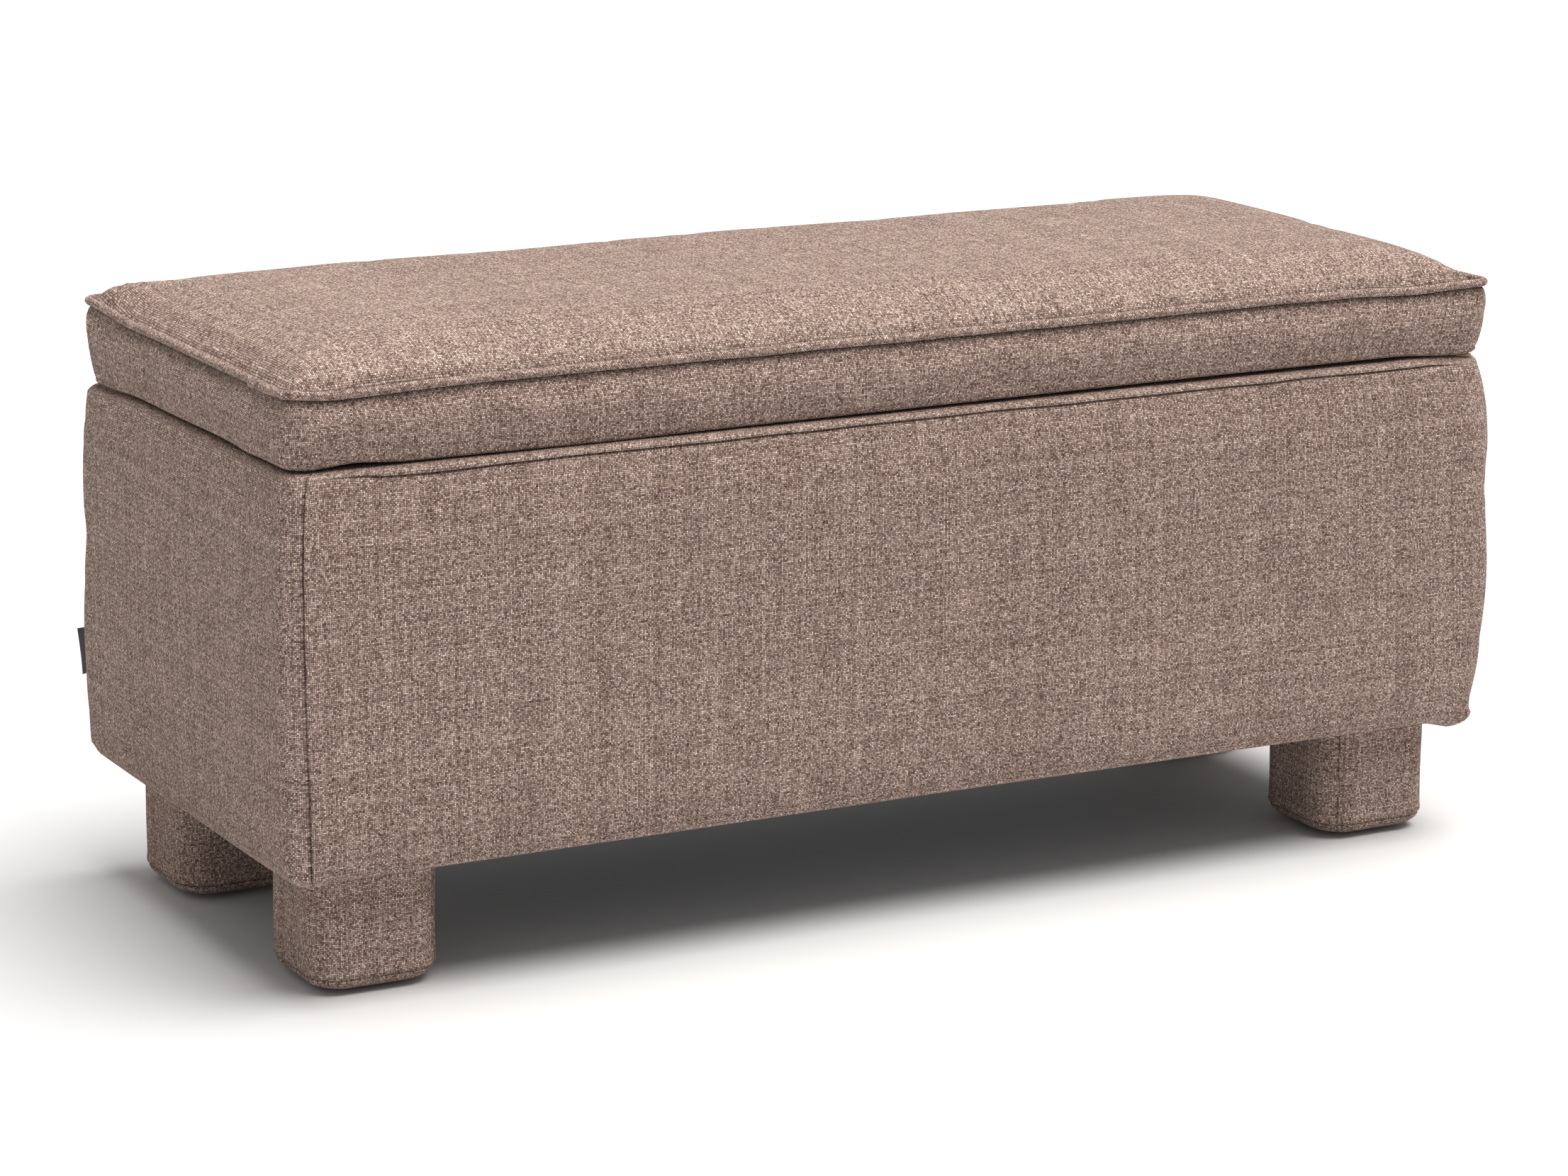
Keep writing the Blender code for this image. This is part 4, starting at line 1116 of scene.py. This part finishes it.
def dust_cover():
    low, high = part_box("dust_cover")
    foot_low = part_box("foot_cover_front_right")[0]

    def height(x, y):
        clear = smooth_step(foot_low.x - 0.012 - np.abs(x), 0.0, 0.06)
        sag = 0.0020 * clear * (1 - (y / high.y) ** 2) * (1 - (x / foot_low.x) ** 2 * 0.6)
        return (low.z + high.z) / 2 - sag + 0.0003 * clear * wave(x, y, 0.0, 0.03, 41)

    piece = flat_cloth("dust_cover_cloth", low, high, height, DUST_CLOTH)
    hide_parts("dust_cover")
    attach(piece, "chest")
    staples("dust_cover_staples", low, high, low.z - 0.0002, 0.062, "chest")


def lid_underside():
    low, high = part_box("lid_underlining")

    def height(x, y):
        return (low.z + high.z) / 2 + 0.0002 * wave(x, y, 0.0, 0.05, 43)

    piece = flat_cloth("lid_underside_cloth", low, high, height, DUST_CLOTH)
    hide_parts("lid_underlining")
    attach(piece, "lid")
    staples("lid_underside_staples", low, high, low.z - 0.0002, 0.055, "lid")


LINING_CORNER = 0.034
LINING_TOP = RIM - 0.019     # it laps over the cover's turned-in edge


def storage_lining():
    """A sewn bag: the walls hang from the rim and the floor lies on the bottom board."""
    low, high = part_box("storage_lining")
    half = Vector((high.x - 0.0006, high.y - 0.0006))
    outline = Outline(half, LINING_CORNER, 0.010, 8)
    x, y = outline.x, outline.y
    skin = Skin()
    rows, flats = [], []
    floor_insets = [half.y - 0.0010 - s * (half.y - 0.010) for s in np.linspace(0.0, 1.0, 14)]
    for inset in floor_insets:
        corner = np.maximum(outline.corner - inset, 0.0005)
        points = outline.at(inset, low.z + 0.0006, corner)
        ripple = wave(points[:, 0], points[:, 1], 0.0, 0.05, 51)
        points[:, 2] += 0.0016 * np.maximum(ripple, 0.0) * min(1.0, inset / 0.03)
        rows.append(points)
        flats.append(points[:, :2])
    corner_rise = 0.010
    wall_low = low.z + 0.0006
    heights = [wall_low + corner_rise * (1 - math.cos(a)) for a in np.linspace(0.2, QUARTER, 5)]
    insets = [corner_rise * (1 - math.sin(a)) for a in np.linspace(0.2, QUARTER, 5)]
    walls = list(np.linspace(wall_low + corner_rise, LINING_TOP, 26))[1:]
    for inset, z in list(zip(insets, heights)) + [(0.0, z) for z in walls]:
        share = min(1.0, (z - wall_low) / (LINING_TOP - wall_low))
        fold = np.maximum(wave(x, y, z * 0.35, 0.045, 52), 0.0) * 0.0045 * math.sin(math.pi * share)
        rows.append(outline.at(inset + fold, z))
        reach = flats[len(floor_insets) - 1]
        away = np.stack([outline.out_x, outline.out_y], axis=1) * (z - wall_low + 0.003)
        flats.append(reach + away)
    ids = closed(np.array([skin.row(points) for points in rows]))
    flat = np.array(flats)
    skin.cells(ids, np.concatenate([flat, flat[:, :1]], axis=1), turned=True)
    piece = skin.piece("storage_bag", BLACK_CLOTH)
    thicken(piece, THIN_CLOTH, 1.0)
    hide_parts("storage_lining")
    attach(piece, "chest")


TAG_OUT = Vector((-math.sqrt(0.5), math.sqrt(0.5), 0.0))


def side_tag():
    """A blank ribbon folded in half and caught in the corner seam."""
    low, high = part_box("side_tag")
    side = Vector((TAG_OUT.y, -TAG_OUT.x, 0.0))
    root = Vector(((low.x + high.x) / 2, (low.y + high.y) / 2, 0.0)) - TAG_OUT * 0.0050
    gap, length = 0.00045, 0.0095
    fold = [(length + gap * math.cos(a), gap * math.sin(a)) for a in np.linspace(-QUARTER, QUARTER, 7)]
    path = [(t * length, -gap) for t in np.linspace(0, 0.95, 8)]
    path += fold + [(t * length, gap) for t in np.linspace(0.95, 0, 8)]
    skin = Skin()
    rows, flats = [], []
    for z in np.linspace(low.z - 0.0005, high.z, 15):
        share = (z - low.z) / (high.z - low.z)
        reach = 0.72 + 0.28 * share
        row = []
        for out, across in path:
            curl = 0.0009 * math.sin(3.0 * share + 0.6) * (out / length) ** 2
            spot = root + TAG_OUT * out * reach + side * (across + curl)
            row.append((spot.x, spot.y, z - 0.0016 * (out / length) ** 1.5))
        rows.append(row)
        lengths = np.concatenate([[0.0], np.cumsum(np.linalg.norm(np.diff(np.array(row), axis=0), axis=1))])
        flats.append(np.stack([lengths, np.full(len(row), z)], axis=1))
    skin.cells(np.array([skin.row(row) for row in rows]), np.array(flats))
    piece = skin.piece("side_tag_ribbon", RIBBON)
    thicken(piece, TAG_THICKNESS, 0.0)
    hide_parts("side_tag")
    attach(piece, "chest")


# A screw head from its rim to the bottom of its cross: share of the radius, share of the height,
# and 1 where the ring follows the cross.
HEAD_PROFILE = (
    (1.0, 0.0, 0), (1.0, 0.35, 0), (0.86, 0.80, 0), (0.60, 1.0, 0),
    (0.40, 1.0, 1), (0.34, 0.45, 1), (0.10, 0.25, 1),
)


def screw_heads(name, places, radius, rise, way, body):
    """Cross-headed screws.  way is 1 where the heads face up and -1 where they face down."""
    skin = Skin()
    turns = np.linspace(0.0, 2 * math.pi, 33)[:-1]
    lobes = 1.0 + 0.45 * np.cos(4 * turns)
    for place in places:
        spin = noise.noise(Vector(place) * 90) * 3
        rings = []
        for reach, height, lobed in HEAD_PROFILE:
            out = radius * reach * (lobes if lobed else 1.0)
            level = np.full(len(turns), place[2] + way * rise * height)
            x = place[0] + out * np.cos(turns + spin)
            y = place[1] + out * np.sin(turns + spin)
            rings.append(np.stack([x, y, level], axis=1))
        ids = closed(np.array([skin.row(ring) for ring in rings]))
        flat = np.zeros((*ids.shape, 2))
        skin.cells(ids, flat, turned=way < 0)
        skin.fan(ids[-1, :-1][::-way], rings[-1].mean(axis=0), flat[-1, :-1], (0.0, 0.0))
    piece = skin.piece(name, ZINC)
    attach(piece, body)


def fixings():
    for side, sign in (("left", -1), ("right", 1)):
        low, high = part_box(f"hinge_chest_leaf_{side}")
        middle = (low.x + high.x) / 2
        across = [middle - 0.022, middle, middle + 0.022]
        for leaf, face, way in (("chest", RIM + 0.0015, 1), ("lid", RIM + 0.0018, -1)):
            spots = [(x, low.y + 0.009, face) for x in across]
            screw_heads(f"hinge_{leaf}_screws_{side}", spots, 0.0030, 0.00012, way, leaf)
        low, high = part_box(f"stay_bracket_{side}")
        middle = (low.x + high.x) / 2 - sign * 0.003
        spots = [(middle, y, high.z - 0.0020) for y in (low.y + 0.009, high.y - 0.009)]
        screw_heads(f"stay_bracket_screws_{side}", spots, 0.0034, 0.0013, -1, "lid")


# ---- build ----
finish_frame_nodes()
make_studio()
chest_cover()
piping_edge, piping_out = lid_cushion()
lid_piping(piping_edge, piping_out)
for foot_name in FOOT_SEAMS:
    foot_sock(foot_name)
storage_lining()
dust_cover()
lid_underside()
side_tag()
fixings()
